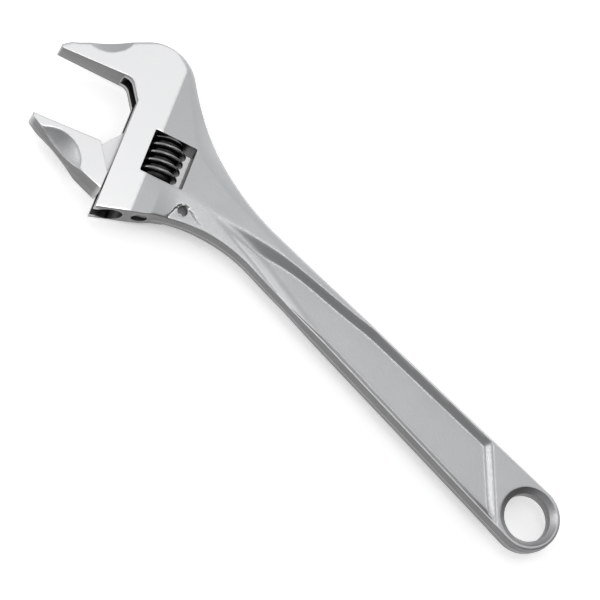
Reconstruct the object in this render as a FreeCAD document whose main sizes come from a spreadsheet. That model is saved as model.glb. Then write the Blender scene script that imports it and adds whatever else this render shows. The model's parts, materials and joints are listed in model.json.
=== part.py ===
"""Adjustable wrench, wide-opening, 250 mm class: forged body, movable jaw, worm, worm pin and worm spring.

Frame, in millimetres: the origin is the centre of the hang hole at mid thickness, +X runs along the handle
to the head, +Y points to the movable jaw's side and +Z is square to the flat sides. The head has a frame of
its own, turned by the jaw angle about the throat corner: its x runs out along the jaws, its y along the
slide towards the opening side, and its z is the wrench's own Z.
"""
import FreeCAD, Part
import math
import os
import Sketcher

Vector = FreeCAD.Vector
doc = FreeCAD.newDocument("adjustable_wrench")
sheet = doc.addObject("Spreadsheet::Sheet", "sizes")

# Every driving size, in millimetres or degrees.
SIZES = {
    # handle
    "hang_hole_radius": 9.0,
    "hang_chamfer_across": 2.1,
    "hang_chamfer_deep": 1.7,
    "handle_end_radius": 12.9,
    "handle_thickness": 7.9,
    "neck_half_width": 8.75,
    "neck_reach": 138.8,
    "neck_top_radius": 97.0,
    "neck_bottom_radius": 58.0,
    # channel that makes the handle an I-beam
    "web_thickness": 3.1,
    "rail_width": 1.2,
    "rail_slope_across": 2.4,
    "channel_end_angle": 46.0,
    "channel_end_land": 0.4,
    "channel_bend_reach": 88.0,
    "channel_turn_reach": 142.0,
    "channel_turn_side": 1.3,
    "channel_point_reach": 152.0,
    "channel_point_side": 4.2,
    "channel_low_reach": 144.0,
    # head
    "head_reach": 208.8,
    "head_drop": 6.0,
    "jaw_angle": 22.5,
    "head_thickness": 12.2,
    "strap_width": 12.6,
    "shoulder_half": 4.9,
    "shoulder_reach": 27.5,
    "ramp_reach": 60.0,
    "head_length": 45.3,
    "heel_slant": 17.3,
    "crown_radius": 16.6,
    "crown_in": 2.9,
    "crown_up": 8.9,
    # jaws
    "jaw_reach": 33.2,
    "jaw_tip_thickness": 7.9,
    "taper_start": 1.5,
    "throat_rise": 7.4,
    "throat_angle": 32.5,
    "throat_fillet": 3.8,
    "fixed_nose_width": 1.4,
    "fixed_nose_reach": 30.2,
    "fixed_nose_depth": 4.0,
    "movable_nose_width": 1.6,
    "movable_depth": 17.8,
    "jaw_gap_at_rest": 28.0,
    "dish_radius": 10.0,
    "dish_depth": 3.5,
    "dish_reach": 20.6,
    "dish_behind_face": 14.2,
    # slide
    "rack_radius": 4.8,
    "rack_in": 6.1,
    "web_in_slot": 6.0,
    "slide_clearance": 0.1,
    "face_clearance": 0.3,
    "web_rise": 7.7,
    "web_reach": 5.9,
    "web_root": 1.5,
    "slot_end_room": 1.9,
    "rack_above_face": 15.1,
    "rack_end_chamfer": 2.0,
    "rack_end_room": 0.4,
    "rack_end_inset": 0.8,
    # worm, its pin and its spring
    "worm_pitch": 3.3,
    "worm_radius": 7.9,
    "thread_depth": 2.0,
    "thread_crest": 1.1,
    "thread_flank": 14.0,
    "thread_root_sink": 0.3,
    "mesh_clearance": 0.2,
    "flank_clearance": 0.15,
    "window_top": 7.6,
    "window_length": 17.2,
    "window_into_bore": 0.7,
    "window_behind_worm": 2.2,
    "worm_bay_clearance": 0.3,
    "worm_end_play": 0.15,
    "pin_radius": 2.2,
    "pin_clearance": 0.08,
    "pin_head_radius": 2.8,
    "pin_head_length": 9.0,
    "pin_recess": 0.6,
    "pin_chamfer": 0.4,
    "pin_blind": 5.5,
    "pin_tip_room": 0.3,
    "driver_slot_width": 0.9,
    "driver_slot_deep": 1.3,
    "spring_pocket_radius": 4.3,
    "spring_pocket_deep": 7.5,
    "spring_wire": 0.7,
    "spring_turns": 5.0,
    "spring_end_room": 0.1,
    # heel recess with its tether hole
    "tether_hole_radius": 1.9,
    "tether_reach": 168.4,
    "tether_side": 11.7,
    "recess_deep": 1.5,
    "recess_margin": 1.0,
    "recess_leg_fall": 0.2,
    "recess_run": 14.0,
    # how far every cut runs past the metal it leaves
    "cut_margin": 2.0,
}
for row, (alias, value) in enumerate(SIZES.items(), start=1):
    sheet.set(f"A{row}", alias.replace("_", " "))
    sheet.set(f"B{row}", str(value))
    sheet.setAlias(f"B{row}", alias)
doc.recompute()


def cell(text):
    """Expression text with every size name spelled as a cell of the sheet."""
    out = []
    word = ""
    for letter in text + " ":
        if letter.isalnum() or letter in "_.":
            word += letter
            continue
        out.append("sizes." + word if word in SIZES else word)
        out.append(letter)
        word = ""
    return "".join(out).strip()


def value_of(text):
    """Number that an expression gives now, in millimetres or degrees."""
    result = sheet.evalExpression(cell(text))
    return float(getattr(result, "Value", result))


def bind(target, path, text):
    target.setExpression(path, cell(text))


def head_to_main(out_text, slide_text):
    """A point of the head's frame as two expressions in the main frame."""
    x = f"head_reach + ({out_text}) * cos(jaw_angle) - ({slide_text}) * sin(jaw_angle)"
    y = f"0 - head_drop + ({out_text}) * sin(jaw_angle) + ({slide_text}) * cos(jaw_angle)"
    return x, y


def place_head_frame(target):
    """Stand a whole body in the head's frame."""
    bind(target, "Placement.Base.x", "head_reach")
    bind(target, "Placement.Base.y", "0 - head_drop")
    bind(target, "Placement.Rotation.Angle", "jaw_angle")


def new_body(name):
    body = doc.addObject("PartDesign::Body", name)
    body.Label = name
    return body


def new_sketch(body, name, role="XY_Plane", height=None, in_head=False):
    """A sketch on one of the body's own origin planes, lifted by height or stood in the head's frame."""
    sketch = body.newObject("Sketcher::SketchObject", name)
    plane = next(item for item in body.Origin.OriginFeatures if item.Role == role)
    sketch.AttachmentSupport = [(plane, "")]
    sketch.MapMode = "FlatFace"
    if in_head and role == "XY_Plane":
        bind(sketch, "AttachmentOffset.Base.x", "head_reach")
        bind(sketch, "AttachmentOffset.Base.y", "0 - head_drop")
        bind(sketch, "AttachmentOffset.Rotation.Angle", "jaw_angle")
    if in_head and role == "XZ_Plane":
        sketch.AttachmentOffset = FreeCAD.Placement(Vector(), FreeCAD.Rotation(Vector(0, 1, 0), 1))
        bind(sketch, "AttachmentOffset.Base.x", "head_reach")
        bind(sketch, "AttachmentOffset.Base.z", "head_drop")
        bind(sketch, "AttachmentOffset.Rotation.Angle", "jaw_angle")
    if height is not None:
        bind(sketch, "AttachmentOffset.Base.z", height)
    return sketch


def hold(sketch, kind, *items, size=None):
    """Add one constraint, and bind its size where it has one."""
    if size is None:
        return sketch.addConstraint(Sketcher.Constraint(kind, *items))
    number = value_of(size)
    if kind == "Angle":
        number = math.radians(number)
    index = sketch.addConstraint(Sketcher.Constraint(kind, *items, number))
    bind(sketch, f"Constraints[{index}]", size)
    return index


def hold_point(sketch, geometry, end, at):
    """Fix one end of a piece of geometry at two expressions."""
    hold(sketch, "DistanceX", -1, 1, geometry, end, size=at[0])
    hold(sketch, "DistanceY", -1, 1, geometry, end, size=at[1])


def spot(at):
    """The point that two expressions give now."""
    return Vector(value_of(at[0]), value_of(at[1]))


def line(sketch, start, end):
    return sketch.addGeometry(Part.LineSegment(start, end), False)


def arc(sketch, centre, radius, start_degrees, end_degrees):
    """Anticlockwise arc from its start angle to its end angle."""
    whole = Part.Circle(centre, Vector(0, 0, 1), radius)
    start = math.radians(start_degrees)
    end = math.radians(end_degrees)
    return sketch.addGeometry(Part.ArcOfCircle(whole, start, end), False)


def polygon(sketch, corners):
    """A closed outline of straight sides whose corners are pairs of expressions."""
    spots = [spot(at) for at in corners]
    sides = [line(sketch, here, there) for here, there in zip(spots, spots[1:] + spots[:1])]
    for index, side in enumerate(sides):
        hold(sketch, "Coincident", side, 2, sides[(index + 1) % len(sides)], 1)
        hold_point(sketch, side, 1, corners[index])


def circle(sketch, radius, at):
    index = sketch.addGeometry(Part.Circle(spot(at), Vector(0, 0, 1), value_of(radius)), False)
    hold(sketch, "Radius", index, size=radius)
    hold_point(sketch, index, 3, at)


def pad(body, name, sketch, length):
    feature = body.newObject("PartDesign::Pad", name)
    feature.Profile = sketch
    feature.SideType = "Symmetric"
    bind(feature, "Length", length)
    return feature


def pocket_both_ways(body, name, sketch, length=None):
    """A cut to both sides of its sketch, through everything or to a stated total length."""
    feature = body.newObject("PartDesign::Pocket", name)
    feature.Profile = sketch
    feature.SideType = "Symmetric"
    if length is None:
        feature.Type = "ThroughAll"
    else:
        bind(feature, "Length", length)
    return feature


def pocket_up(body, name, sketch, length, taper=None):
    """A cut from its sketch towards +Z."""
    feature = body.newObject("PartDesign::Pocket", name)
    feature.Profile = sketch
    feature.Reversed = True
    bind(feature, "Length", length)
    if taper is not None:
        bind(feature, "TaperAngle", taper)
    return feature


def turned(body, name, kind, sketch, axis="V_Axis"):
    """A revolution or a groove about an axis of its sketch."""
    feature = body.newObject(f"PartDesign::{kind}", name)
    feature.Profile = sketch
    feature.ReferenceAxis = (sketch, [axis])
    feature.Angle = 360
    return feature


def mirrored(body, name, originals, role="XY_Plane"):
    """The same features on the other side of a plane through the middle."""
    plane = next(item for item in body.Origin.OriginFeatures if item.Role == role)
    feature = body.newObject("PartDesign::Mirrored", name)
    feature.Originals = originals
    feature.MirrorPlane = (plane, [""])
    body.Tip = feature
    return feature


def check_cut(before, after, name):
    """Stop when a cut has taken nothing away."""
    if after.Shape.Volume > before - 0.01:
        raise RuntimeError(f"{name} cuts nothing")


# Places that several pieces share, in the head's frame; "in" is measured back from the front face.
WORM_IN = "rack_in + rack_radius + mesh_clearance - thread_depth + worm_radius"
WORM_MIDDLE = "window_top + window_length / 2"
WINDOW_FAR = f"({WORM_IN}) + worm_radius + window_behind_worm"
WINDOW_NEAR = "rack_in + rack_radius - window_into_bore"
WINDOW_END = "window_top + window_length"
JAW_HEIGHT = "0 - throat_rise"
FACE_AT_REST = "jaw_gap_at_rest - throat_rise"
THROAT_OUT = "throat_rise * tan(throat_angle)"
FILLET_TANGENT = "throat_fillet * tan(45 - throat_angle / 2)"

# Jaw taper, and the ball that scoops a jaw's dish: its radius and its centre's height above mid thickness.
JAW_TAPER = "(head_thickness - jaw_tip_thickness) / 2 / (jaw_reach - taper_start)"
DISH_BALL = "(dish_radius ^ 2 + dish_depth ^ 2) / (2 * dish_depth)"
DISH_LIFT = f"head_thickness / 2 - {JAW_TAPER} * (dish_reach - taper_start) + {DISH_BALL} - dish_depth"

# Rack: its upper end at rest, the blind end of its bore, and its tooth gaps in line with the worm's thread.
RACK_TOP = f"{FACE_AT_REST} - rack_above_face"
RACK_SEAT = f"{RACK_TOP} - jaw_gap_at_rest - rack_end_room"
WEB_END = f"{FACE_AT_REST} + movable_depth - 2 * rack_end_inset"
GAP_MOUTH = "thread_crest / 2 + flank_clearance + thread_depth * tan(thread_flank)"
GAPS_ABOVE = f"floor(({WORM_MIDDLE} - ({RACK_TOP}) + {GAP_MOUTH}) / worm_pitch)"
GAPS_BELOW = f"floor(({WEB_END} + rack_end_inset - ({WORM_MIDDLE}) + {GAP_MOUTH}) / worm_pitch)"

# Pin: its outer end sits under the slanted heel, and its head stops on a shoulder.
PIN_END = f"head_length - ({WORM_IN} + pin_head_radius) * tan(heel_slant) - pin_recess"
PIN_SHOULDER = f"{PIN_END} - pin_head_length"
PIN_TIP = "window_top - pin_blind + pin_tip_room"


def dish_ball(body, name, x, y):
    """Ball that scoops a shallow dish out of a jaw's upper side, centred at two expressions of the body."""
    dish = body.newObject("PartDesign::SubtractiveSphere", name)
    plane = next(item for item in body.Origin.OriginFeatures if item.Role == "XY_Plane")
    dish.AttachmentSupport = [(plane, "")]
    dish.MapMode = "FlatFace"
    bind(dish, "Radius", DISH_BALL)
    bind(dish, "AttachmentOffset.Base.x", x)
    bind(dish, "AttachmentOffset.Base.y", y)
    bind(dish, "AttachmentOffset.Base.z", DISH_LIFT)
    doc.recompute()
    return dish


# ---- forged body: handle, head and fixed jaw in one piece
def body_outline(sketch):
    """Side view of the forging: hang end, handle, neck, crown, fixed jaw, throat, front face and heel."""
    end_radius = value_of("handle_end_radius")
    half = value_of("neck_half_width")
    top_radius = value_of("neck_top_radius")
    low_radius = value_of("neck_bottom_radius")
    crown_radius = value_of("crown_radius")
    turn = value_of("jaw_angle")
    crown_at = head_to_main("0 - crown_in", "0 - crown_up")
    heel_at = head_to_main("0", "head_length")
    nose_at = head_to_main("fixed_nose_reach", "0 - throat_rise - fixed_nose_depth")
    tip_low_at = head_to_main("jaw_reach", "0 - throat_rise - fixed_nose_width")
    tip_at = head_to_main("jaw_reach", JAW_HEIGHT)
    face_at = head_to_main(f"{THROAT_OUT} + {FILLET_TANGENT}", JAW_HEIGHT)
    fillet_at = head_to_main(f"{THROAT_OUT} + {FILLET_TANGENT}", "throat_fillet - throat_rise")
    wall_at = head_to_main(f"{THROAT_OUT} - {FILLET_TANGENT} * sin(throat_angle)",
                           f"{FILLET_TANGENT} * cos(throat_angle) - throat_rise")
    corner_at = head_to_main("0", "0")

    # Where the tangent arcs and lines meet, worked out so that the constraints start from the right shape.
    crown = spot(crown_at)
    heel = spot(heel_at)
    handle_slope = math.degrees(math.atan((end_radius - half) / value_of("neck_reach")))
    heel_slope = math.radians(turn + value_of("heel_slant"))
    reach = math.sqrt((top_radius + crown_radius) ** 2 - (crown.y + half + top_radius) ** 2)
    top_centre = Vector(crown.x - reach, -half - top_radius)
    low_x = heel.x + ((half + low_radius - heel.y) * math.cos(heel_slope) - low_radius) / math.sin(heel_slope)
    low_centre = Vector(low_x, half + low_radius)
    low_tangent = low_centre + Vector(math.sin(heel_slope), -math.cos(heel_slope)) * low_radius
    join = math.degrees(math.atan2(crown.y - top_centre.y, crown.x - top_centre.x))
    to_nose = spot(nose_at) - crown
    exit_angle = math.atan2(to_nose.y, to_nose.x) - math.acos(crown_radius / to_nose.Length)
    crown_exit = crown + Vector(math.cos(exit_angle), math.sin(exit_angle)) * crown_radius

    end_arc = arc(sketch, Vector(), end_radius, 90 - handle_slope, 270 + handle_slope)
    top_edge = line(sketch, Vector(0, -end_radius), Vector(top_centre.x, -half))
    top_neck = arc(sketch, top_centre, top_radius, join, 90 + handle_slope)
    crown_arc = arc(sketch, crown, crown_radius, join + 180, 360 + math.degrees(exit_angle))
    back_edge = line(sketch, crown_exit, spot(nose_at))
    nose = line(sketch, spot(nose_at), spot(tip_low_at))
    tip = line(sketch, spot(tip_low_at), spot(tip_at))
    face = line(sketch, spot(tip_at), spot(face_at))
    wall_turn = 180 + turn + value_of("throat_angle")
    fillet = arc(sketch, spot(fillet_at), value_of("throat_fillet"), wall_turn, 270 + turn)
    wall = line(sketch, spot(wall_at), spot(corner_at))
    front = line(sketch, spot(corner_at), heel)
    bottom = line(sketch, heel, low_tangent)
    low_neck = arc(sketch, low_centre, low_radius, 270 - handle_slope, 270 + math.degrees(heel_slope))
    low_edge = line(sketch, Vector(low_centre.x, half), Vector(0, end_radius))

    hold(sketch, "Coincident", end_arc, 3, -1, 1)
    hold(sketch, "Radius", end_arc, size="handle_end_radius")
    hold(sketch, "Tangent", end_arc, 2, top_edge, 1)
    hold(sketch, "DistanceY", -1, 1, top_edge, 2, size="0 - neck_half_width")
    hold(sketch, "Tangent", top_edge, 2, top_neck, 2)
    hold(sketch, "Radius", top_neck, size="neck_top_radius")
    hold(sketch, "Tangent", top_neck, 1, crown_arc, 1)
    hold(sketch, "Radius", crown_arc, size="crown_radius")
    hold_point(sketch, crown_arc, 3, crown_at)
    hold(sketch, "Tangent", crown_arc, 2, back_edge, 1)
    hold(sketch, "Coincident", back_edge, 2, nose, 1)
    hold_point(sketch, nose, 1, nose_at)
    hold(sketch, "Coincident", nose, 2, tip, 1)
    hold_point(sketch, tip, 1, tip_low_at)
    hold(sketch, "Coincident", tip, 2, face, 1)
    hold_point(sketch, face, 1, tip_at)
    hold(sketch, "Coincident", face, 2, fillet, 2)
    hold_point(sketch, face, 2, face_at)
    hold(sketch, "Radius", fillet, size="throat_fillet")
    hold(sketch, "Coincident", fillet, 1, wall, 1)
    hold_point(sketch, wall, 1, wall_at)
    hold(sketch, "Coincident", wall, 2, front, 1)
    hold_point(sketch, front, 1, corner_at)
    hold(sketch, "Coincident", front, 2, bottom, 1)
    hold_point(sketch, bottom, 1, heel_at)
    hold(sketch, "Tangent", bottom, 2, low_neck, 2)
    hold(sketch, "Angle", bottom, size="jaw_angle + heel_slant - 180")
    hold(sketch, "Radius", low_neck, size="neck_bottom_radius")
    hold(sketch, "Tangent", low_neck, 1, low_edge, 1)
    hold(sketch, "DistanceY", -1, 1, low_edge, 1, size="neck_half_width")
    hold(sketch, "Tangent", low_edge, 2, end_arc, 1)


def taper_profile(sketch, sign):
    """Waste over one side of a jaw, from where its taper starts to past its tip."""
    tip = f"head_thickness / 2 - {JAW_TAPER} * (jaw_reach + cut_margin - taper_start)"
    polygon(sketch, [
        ("taper_start", f"{sign}(head_thickness / 2)"),
        ("jaw_reach + cut_margin", f"{sign}({tip})"),
        ("jaw_reach + cut_margin", f"{sign}head_thickness"),
        ("taper_start", f"{sign}head_thickness"),
    ])


def relief_profiles(sketch):
    """Waste above and below the forging, seen along the slide: jaw taper, shoulder, ramp and handle."""
    far = "0 - head_reach - handle_end_radius - head_length"
    for sign in ("", "0 - "):
        taper_profile(sketch, sign)
        polygon(sketch, [
            ("0 - strap_width", f"{sign}(head_thickness / 2)"),
            ("0 - strap_width", f"{sign}head_thickness"),
            (far, f"{sign}head_thickness"),
            (far, f"{sign}(handle_thickness / 2)"),
            ("0 - ramp_reach", f"{sign}(handle_thickness / 2)"),
            ("0 - shoulder_reach", f"{sign}shoulder_half"),
        ])


def channel_floor(sketch):
    """Floor of the handle's channel: slanted end by the hang hole, bent upper side, point at the neck."""
    taper = "(handle_end_radius - neck_half_width) / neck_reach"
    edge = "handle_end_radius - rail_width - rail_slope_across"
    end_out = "handle_end_radius + channel_end_land + rail_slope_across"
    across = "sin(channel_end_angle)"
    along = "cos(channel_end_angle)"
    top_reach = f"({end_out} + ({edge}) * {across}) / ({along} + {taper} * {across})"
    low_reach = f"({end_out} - ({edge}) * {across}) / ({along} - {taper} * {across})"
    polygon(sketch, [
        (top_reach, f"{taper} * {top_reach} - ({edge})"),
        ("channel_bend_reach", f"{taper} * channel_bend_reach - ({edge})"),
        ("channel_turn_reach", "channel_turn_side"),
        ("channel_point_reach", "channel_point_side"),
        ("channel_low_reach", f"{edge} - {taper} * channel_low_reach"),
        (low_reach, f"{edge} - {taper} * {low_reach}"),
    ])


def slide_slot(sketch):
    """Side view of the slot for the jaw's web: open along the front face and past the heel."""
    polygon(sketch, [
        ("0 - rack_in", f"{RACK_SEAT} + rack_end_chamfer"),
        ("0", f"{JAW_HEIGHT} - web_rise - slot_end_room"),
        ("web_reach + slot_end_room", JAW_HEIGHT),
        ("web_reach + slot_end_room + cut_margin", "0"),
        ("web_reach + slot_end_room + cut_margin", "head_length + cut_margin"),
        ("0 - rack_in", "head_length + cut_margin"),
    ])


def rack_bore(sketch):
    """Half section of the blind bore that the rack slides in, about the sketch's upright axis."""
    wall = "rack_radius + slide_clearance"
    polygon(sketch, [
        ("0", RACK_SEAT),
        (f"{wall} - rack_end_chamfer", RACK_SEAT),
        (wall, f"{RACK_SEAT} + rack_end_chamfer"),
        (wall, "head_length + cut_margin"),
        ("0", "head_length + cut_margin"),
    ])


def pin_bore(sketch):
    """Half section of the pin's bore: blind above the window, wider at the heel for the pin's head."""
    shank = "pin_radius + pin_clearance"
    polygon(sketch, [
        ("0", "window_top - pin_blind"),
        (shank, "window_top - pin_blind"),
        (shank, PIN_SHOULDER),
        ("pin_head_radius", PIN_SHOULDER),
        ("pin_head_radius", "head_length + cut_margin"),
        ("0", "head_length + cut_margin"),
    ])


def worm_bay(sketch):
    """Half section of the round room that lets the worm's thread reach the rack behind the window's wall."""
    room = "worm_radius + worm_bay_clearance"
    polygon(sketch, [
        ("0", "window_top"),
        (room, "window_top"),
        (room, WINDOW_END),
        ("0", WINDOW_END),
    ])


def axis_sketch(body, name, in_text):
    """A sketch in the head's frame whose upright axis lies at a distance in from the front face."""
    sketch = new_sketch(body, name)
    x, y = head_to_main(f"0 - ({in_text})", "0")
    bind(sketch, "AttachmentOffset.Base.x", x)
    bind(sketch, "AttachmentOffset.Base.y", y)
    bind(sketch, "AttachmentOffset.Rotation.Angle", "jaw_angle")
    return sketch


def make_wrench_body():
    body = new_body("wrench_body")
    outline = new_sketch(body, "forging_outline")
    body_outline(outline)
    pad(body, "forging", outline, "head_thickness")

    relief = new_sketch(body, "forging_relief", role="XZ_Plane", in_head=True)
    relief_profiles(relief)
    doc.recompute()
    volume = body.Shape.Volume
    relief_cut = pocket_both_ways(body, "relief_cut", relief)
    doc.recompute()
    check_cut(volume, relief_cut, "relief")

    floor = new_sketch(body, "channel_sketch", height="web_thickness / 2")
    channel_floor(floor)
    slope = "atan(rail_slope_across / (handle_thickness / 2 - web_thickness / 2))"
    channel = pocket_up(body, "channel_cut", floor, "head_thickness / 2", taper=slope)
    mirrored(body, "channel_other_side", [channel])
    doc.recompute()

    window = new_sketch(body, "window_sketch", in_head=True)
    polygon(window, [
        (f"0 - ({WINDOW_FAR})", "window_top"),
        (f"0 - ({WINDOW_NEAR})", "window_top"),
        (f"0 - ({WINDOW_NEAR})", WINDOW_END),
        (f"0 - ({WINDOW_FAR})", WINDOW_END),
    ])
    pocket_both_ways(body, "window_cut", window)

    slot = new_sketch(body, "slot_sketch", in_head=True)
    slide_slot(slot)
    pocket_both_ways(body, "slot_cut", slot, "web_in_slot + 2 * slide_clearance")

    bore = axis_sketch(body, "rack_bore_sketch", "rack_in")
    rack_bore(bore)
    turned(body, "rack_bore_cut", "Groove", bore)

    bay = axis_sketch(body, "worm_bay_sketch", WORM_IN)
    worm_bay(bay)
    turned(body, "worm_bay_cut", "Groove", bay)

    pin = axis_sketch(body, "pin_bore_sketch", WORM_IN)
    pin_bore(pin)
    turned(body, "pin_bore_cut", "Groove", pin)
    doc.recompute()

    hang = new_sketch(body, "hang_hole_sketch", role="XZ_Plane")
    rim = "handle_thickness / 2"
    wide = "hang_hole_radius + hang_chamfer_across * (1 + cut_margin / hang_chamfer_deep)"
    polygon(hang, [
        ("0", f"0 - {rim} - cut_margin"),
        (wide, f"0 - {rim} - cut_margin"),
        ("hang_hole_radius", f"hang_chamfer_deep - {rim}"),
        ("hang_hole_radius", f"{rim} - hang_chamfer_deep"),
        (wide, f"{rim} + cut_margin"),
        ("0", f"{rim} + cut_margin"),
    ])
    turned(body, "hang_hole_cut", "Groove", hang)

    tether = new_sketch(body, "tether_hole_sketch")
    circle(tether, "tether_hole_radius", ("tether_reach", "tether_side"))
    pocket_both_ways(body, "tether_hole_cut", tether)
    recess = new_sketch(body, "recess_sketch", height="shoulder_half - recess_deep")
    leg = "tether_hole_radius + recess_margin"
    polygon(recess, [
        ("tether_reach", f"tether_side - ({leg})"),
        (f"tether_reach + {leg}", "tether_side"),
        (f"tether_reach + {leg}", "tether_side + recess_run"),
        ("tether_reach - recess_run", "tether_side + recess_run"),
        ("tether_reach - recess_run", f"tether_side - ({leg}) + recess_run * recess_leg_fall"),
    ])
    recess_cut = pocket_up(body, "recess_cut", recess, "head_thickness / 2")
    mirrored(body, "recess_other_side", [recess_cut])
    doc.recompute()

    dish_x, dish_y = head_to_main("dish_reach", "0 - throat_rise - dish_behind_face")
    dish = dish_ball(body, "dish_cut", dish_x, dish_y)
    mirrored(body, "dish_other_side", [dish])
    return body


# ---- movable jaw: thick jaw, web in the slot, round rack in the bore
def rack_teeth(body, name, first, count):
    """Repeat the first tooth gap along the slide, count times more."""
    slide_axis = next(item for item in body.Origin.OriginFeatures if item.Role == "Y_Axis")
    teeth = body.newObject("PartDesign::LinearPattern", name)
    teeth.Originals = [first]
    teeth.Direction = (slide_axis, [""])
    teeth.Mode = "Spacing"
    bind(teeth, "Offset", "worm_pitch")
    bind(teeth, "Occurrences", f"{count} + 1")
    body.Tip = teeth
    return teeth


def make_movable_jaw():
    body = new_body("movable_jaw")
    place_head_frame(body)
    face = FACE_AT_REST
    shoulder_out = f"{THROAT_OUT} + {FILLET_TANGENT} + slide_clearance"
    shoulder_down = f"({shoulder_out} - face_clearance) / tan(throat_angle)"
    outline = new_sketch(body, "jaw_outline")
    polygon(outline, [
        ("jaw_reach", face),
        (shoulder_out, face),
        ("face_clearance", f"{face} + {shoulder_down}"),
        ("face_clearance", f"{face} + movable_depth"),
        ("jaw_reach", f"{face} + movable_nose_width"),
    ])
    pad(body, "jaw", outline, "head_thickness")

    relief = new_sketch(body, "jaw_relief", role="XZ_Plane")
    for sign in ("", "0 - "):
        taper_profile(relief, sign)
    doc.recompute()
    volume = body.Shape.Volume
    cut = pocket_both_ways(body, "jaw_relief_cut", relief)
    doc.recompute()
    check_cut(volume, cut, "jaw relief")

    dish = dish_ball(body, "jaw_dish_cut", "dish_reach", f"{face} + dish_behind_face")
    mirrored(body, "jaw_dish_other_side", [dish])

    web = new_sketch(body, "web_outline")
    polygon(web, [
        ("0 - rack_in", f"{RACK_TOP} + rack_end_chamfer"),
        ("0", f"{face} - web_rise"),
        ("web_reach", face),
        ("web_reach + web_root", f"{face} + web_root"),
        ("face_clearance + web_root", WEB_END),
        ("0 - rack_in", WEB_END),
    ])
    pad(body, "web", web, "web_in_slot")

    rack = new_sketch(body, "rack_section")
    bind(rack, "AttachmentOffset.Base.x", "0 - rack_in")
    polygon(rack, [
        ("0", RACK_TOP),
        ("rack_radius - rack_end_chamfer", RACK_TOP),
        ("rack_radius", f"{RACK_TOP} + rack_end_chamfer"),
        ("rack_radius", WEB_END),
        ("rack_radius - rack_end_inset", f"{WEB_END} + rack_end_inset"),
        ("0", f"{WEB_END} + rack_end_inset"),
    ])
    turned(body, "rack", "Revolution", rack)
    doc.recompute()

    # One slanted tooth gap facing the worm's middle, as wide as its thread and the clearance, repeated both
    # ways along the rack.
    gap = new_sketch(body, "tooth_gap_section")
    bind(gap, "AttachmentOffset.Base.x", "0 - rack_in - rack_radius")
    bind(gap, "AttachmentOffset.Base.y", WORM_MIDDLE)
    half_root = "thread_crest / 2 + flank_clearance"
    half_mouth = f"{GAP_MOUTH} + cut_margin * tan(thread_flank)"
    polygon(gap, [
        ("thread_depth", f"0 - ({half_root})"),
        ("thread_depth", half_root),
        ("0 - cut_margin", half_mouth),
        ("0 - cut_margin", f"0 - ({half_mouth})"),
    ])
    doc.recompute()
    volume = body.Shape.Volume
    first = pocket_both_ways(body, "first_gap", gap, "4 * rack_radius")
    first.UseCustomVector = True
    lean = "0 - worm_pitch / (2 * pi * (worm_radius - thread_depth / 2))"
    first.Direction = Vector(0, value_of(lean), 1)
    bind(first, "Direction.y", lean)
    doc.recompute()
    check_cut(volume, first, "tooth gap")
    rack_teeth(body, "rack_teeth_below", first, GAPS_BELOW)
    above = rack_teeth(body, "rack_teeth_above", first, GAPS_ABOVE)
    above.Reversed = True
    doc.recompute()
    return body


# ---- worm, pin and spring, each about its own Z, which is the slide direction of the head
def stand_on_worm_axis(target, along):
    """Turn a piece made about Z so that Z runs along the slide and X points at the rack."""
    x, y = head_to_main(f"0 - ({WORM_IN})", along)
    angle = math.radians(value_of("jaw_angle"))
    out = Vector(math.cos(angle), math.sin(angle), 0)
    slide = Vector(-math.sin(angle), math.cos(angle), 0)
    turn = FreeCAD.Rotation(out, slide.cross(out), slide, "ZXY")
    target.Placement = FreeCAD.Placement(Vector(value_of(x), value_of(y), 0), turn)
    bind(target, "Placement.Base.x", x)
    bind(target, "Placement.Base.y", y)


def primitive(kind, name, **sizes):
    item = doc.addObject(f"Part::{kind}", name)
    for key, text in sizes.items():
        bind(item, key, text)
    return item


def combine(kind, name, base, tool):
    item = doc.addObject(f"Part::{kind}", name)
    item.Base = base
    item.Tool = tool
    return item


def thread_section():
    """Trapezium of the thread in the plane through the worm's axis, rooted a little inside the core."""
    section = doc.addObject("Sketcher::SketchObject", "thread_section")
    section.Placement = FreeCAD.Placement(Vector(), FreeCAD.Rotation(Vector(1, 0, 0), 90))
    root = "worm_radius - thread_depth - thread_root_sink"
    half_crest = "thread_crest / 2"
    half_root = "thread_crest / 2 + (thread_depth + thread_root_sink) * tan(thread_flank)"
    polygon(section, [
        (root, f"0 - ({half_root})"),
        ("worm_radius", f"0 - {half_crest}"),
        ("worm_radius", half_crest),
        (root, half_root),
    ])
    return section


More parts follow.
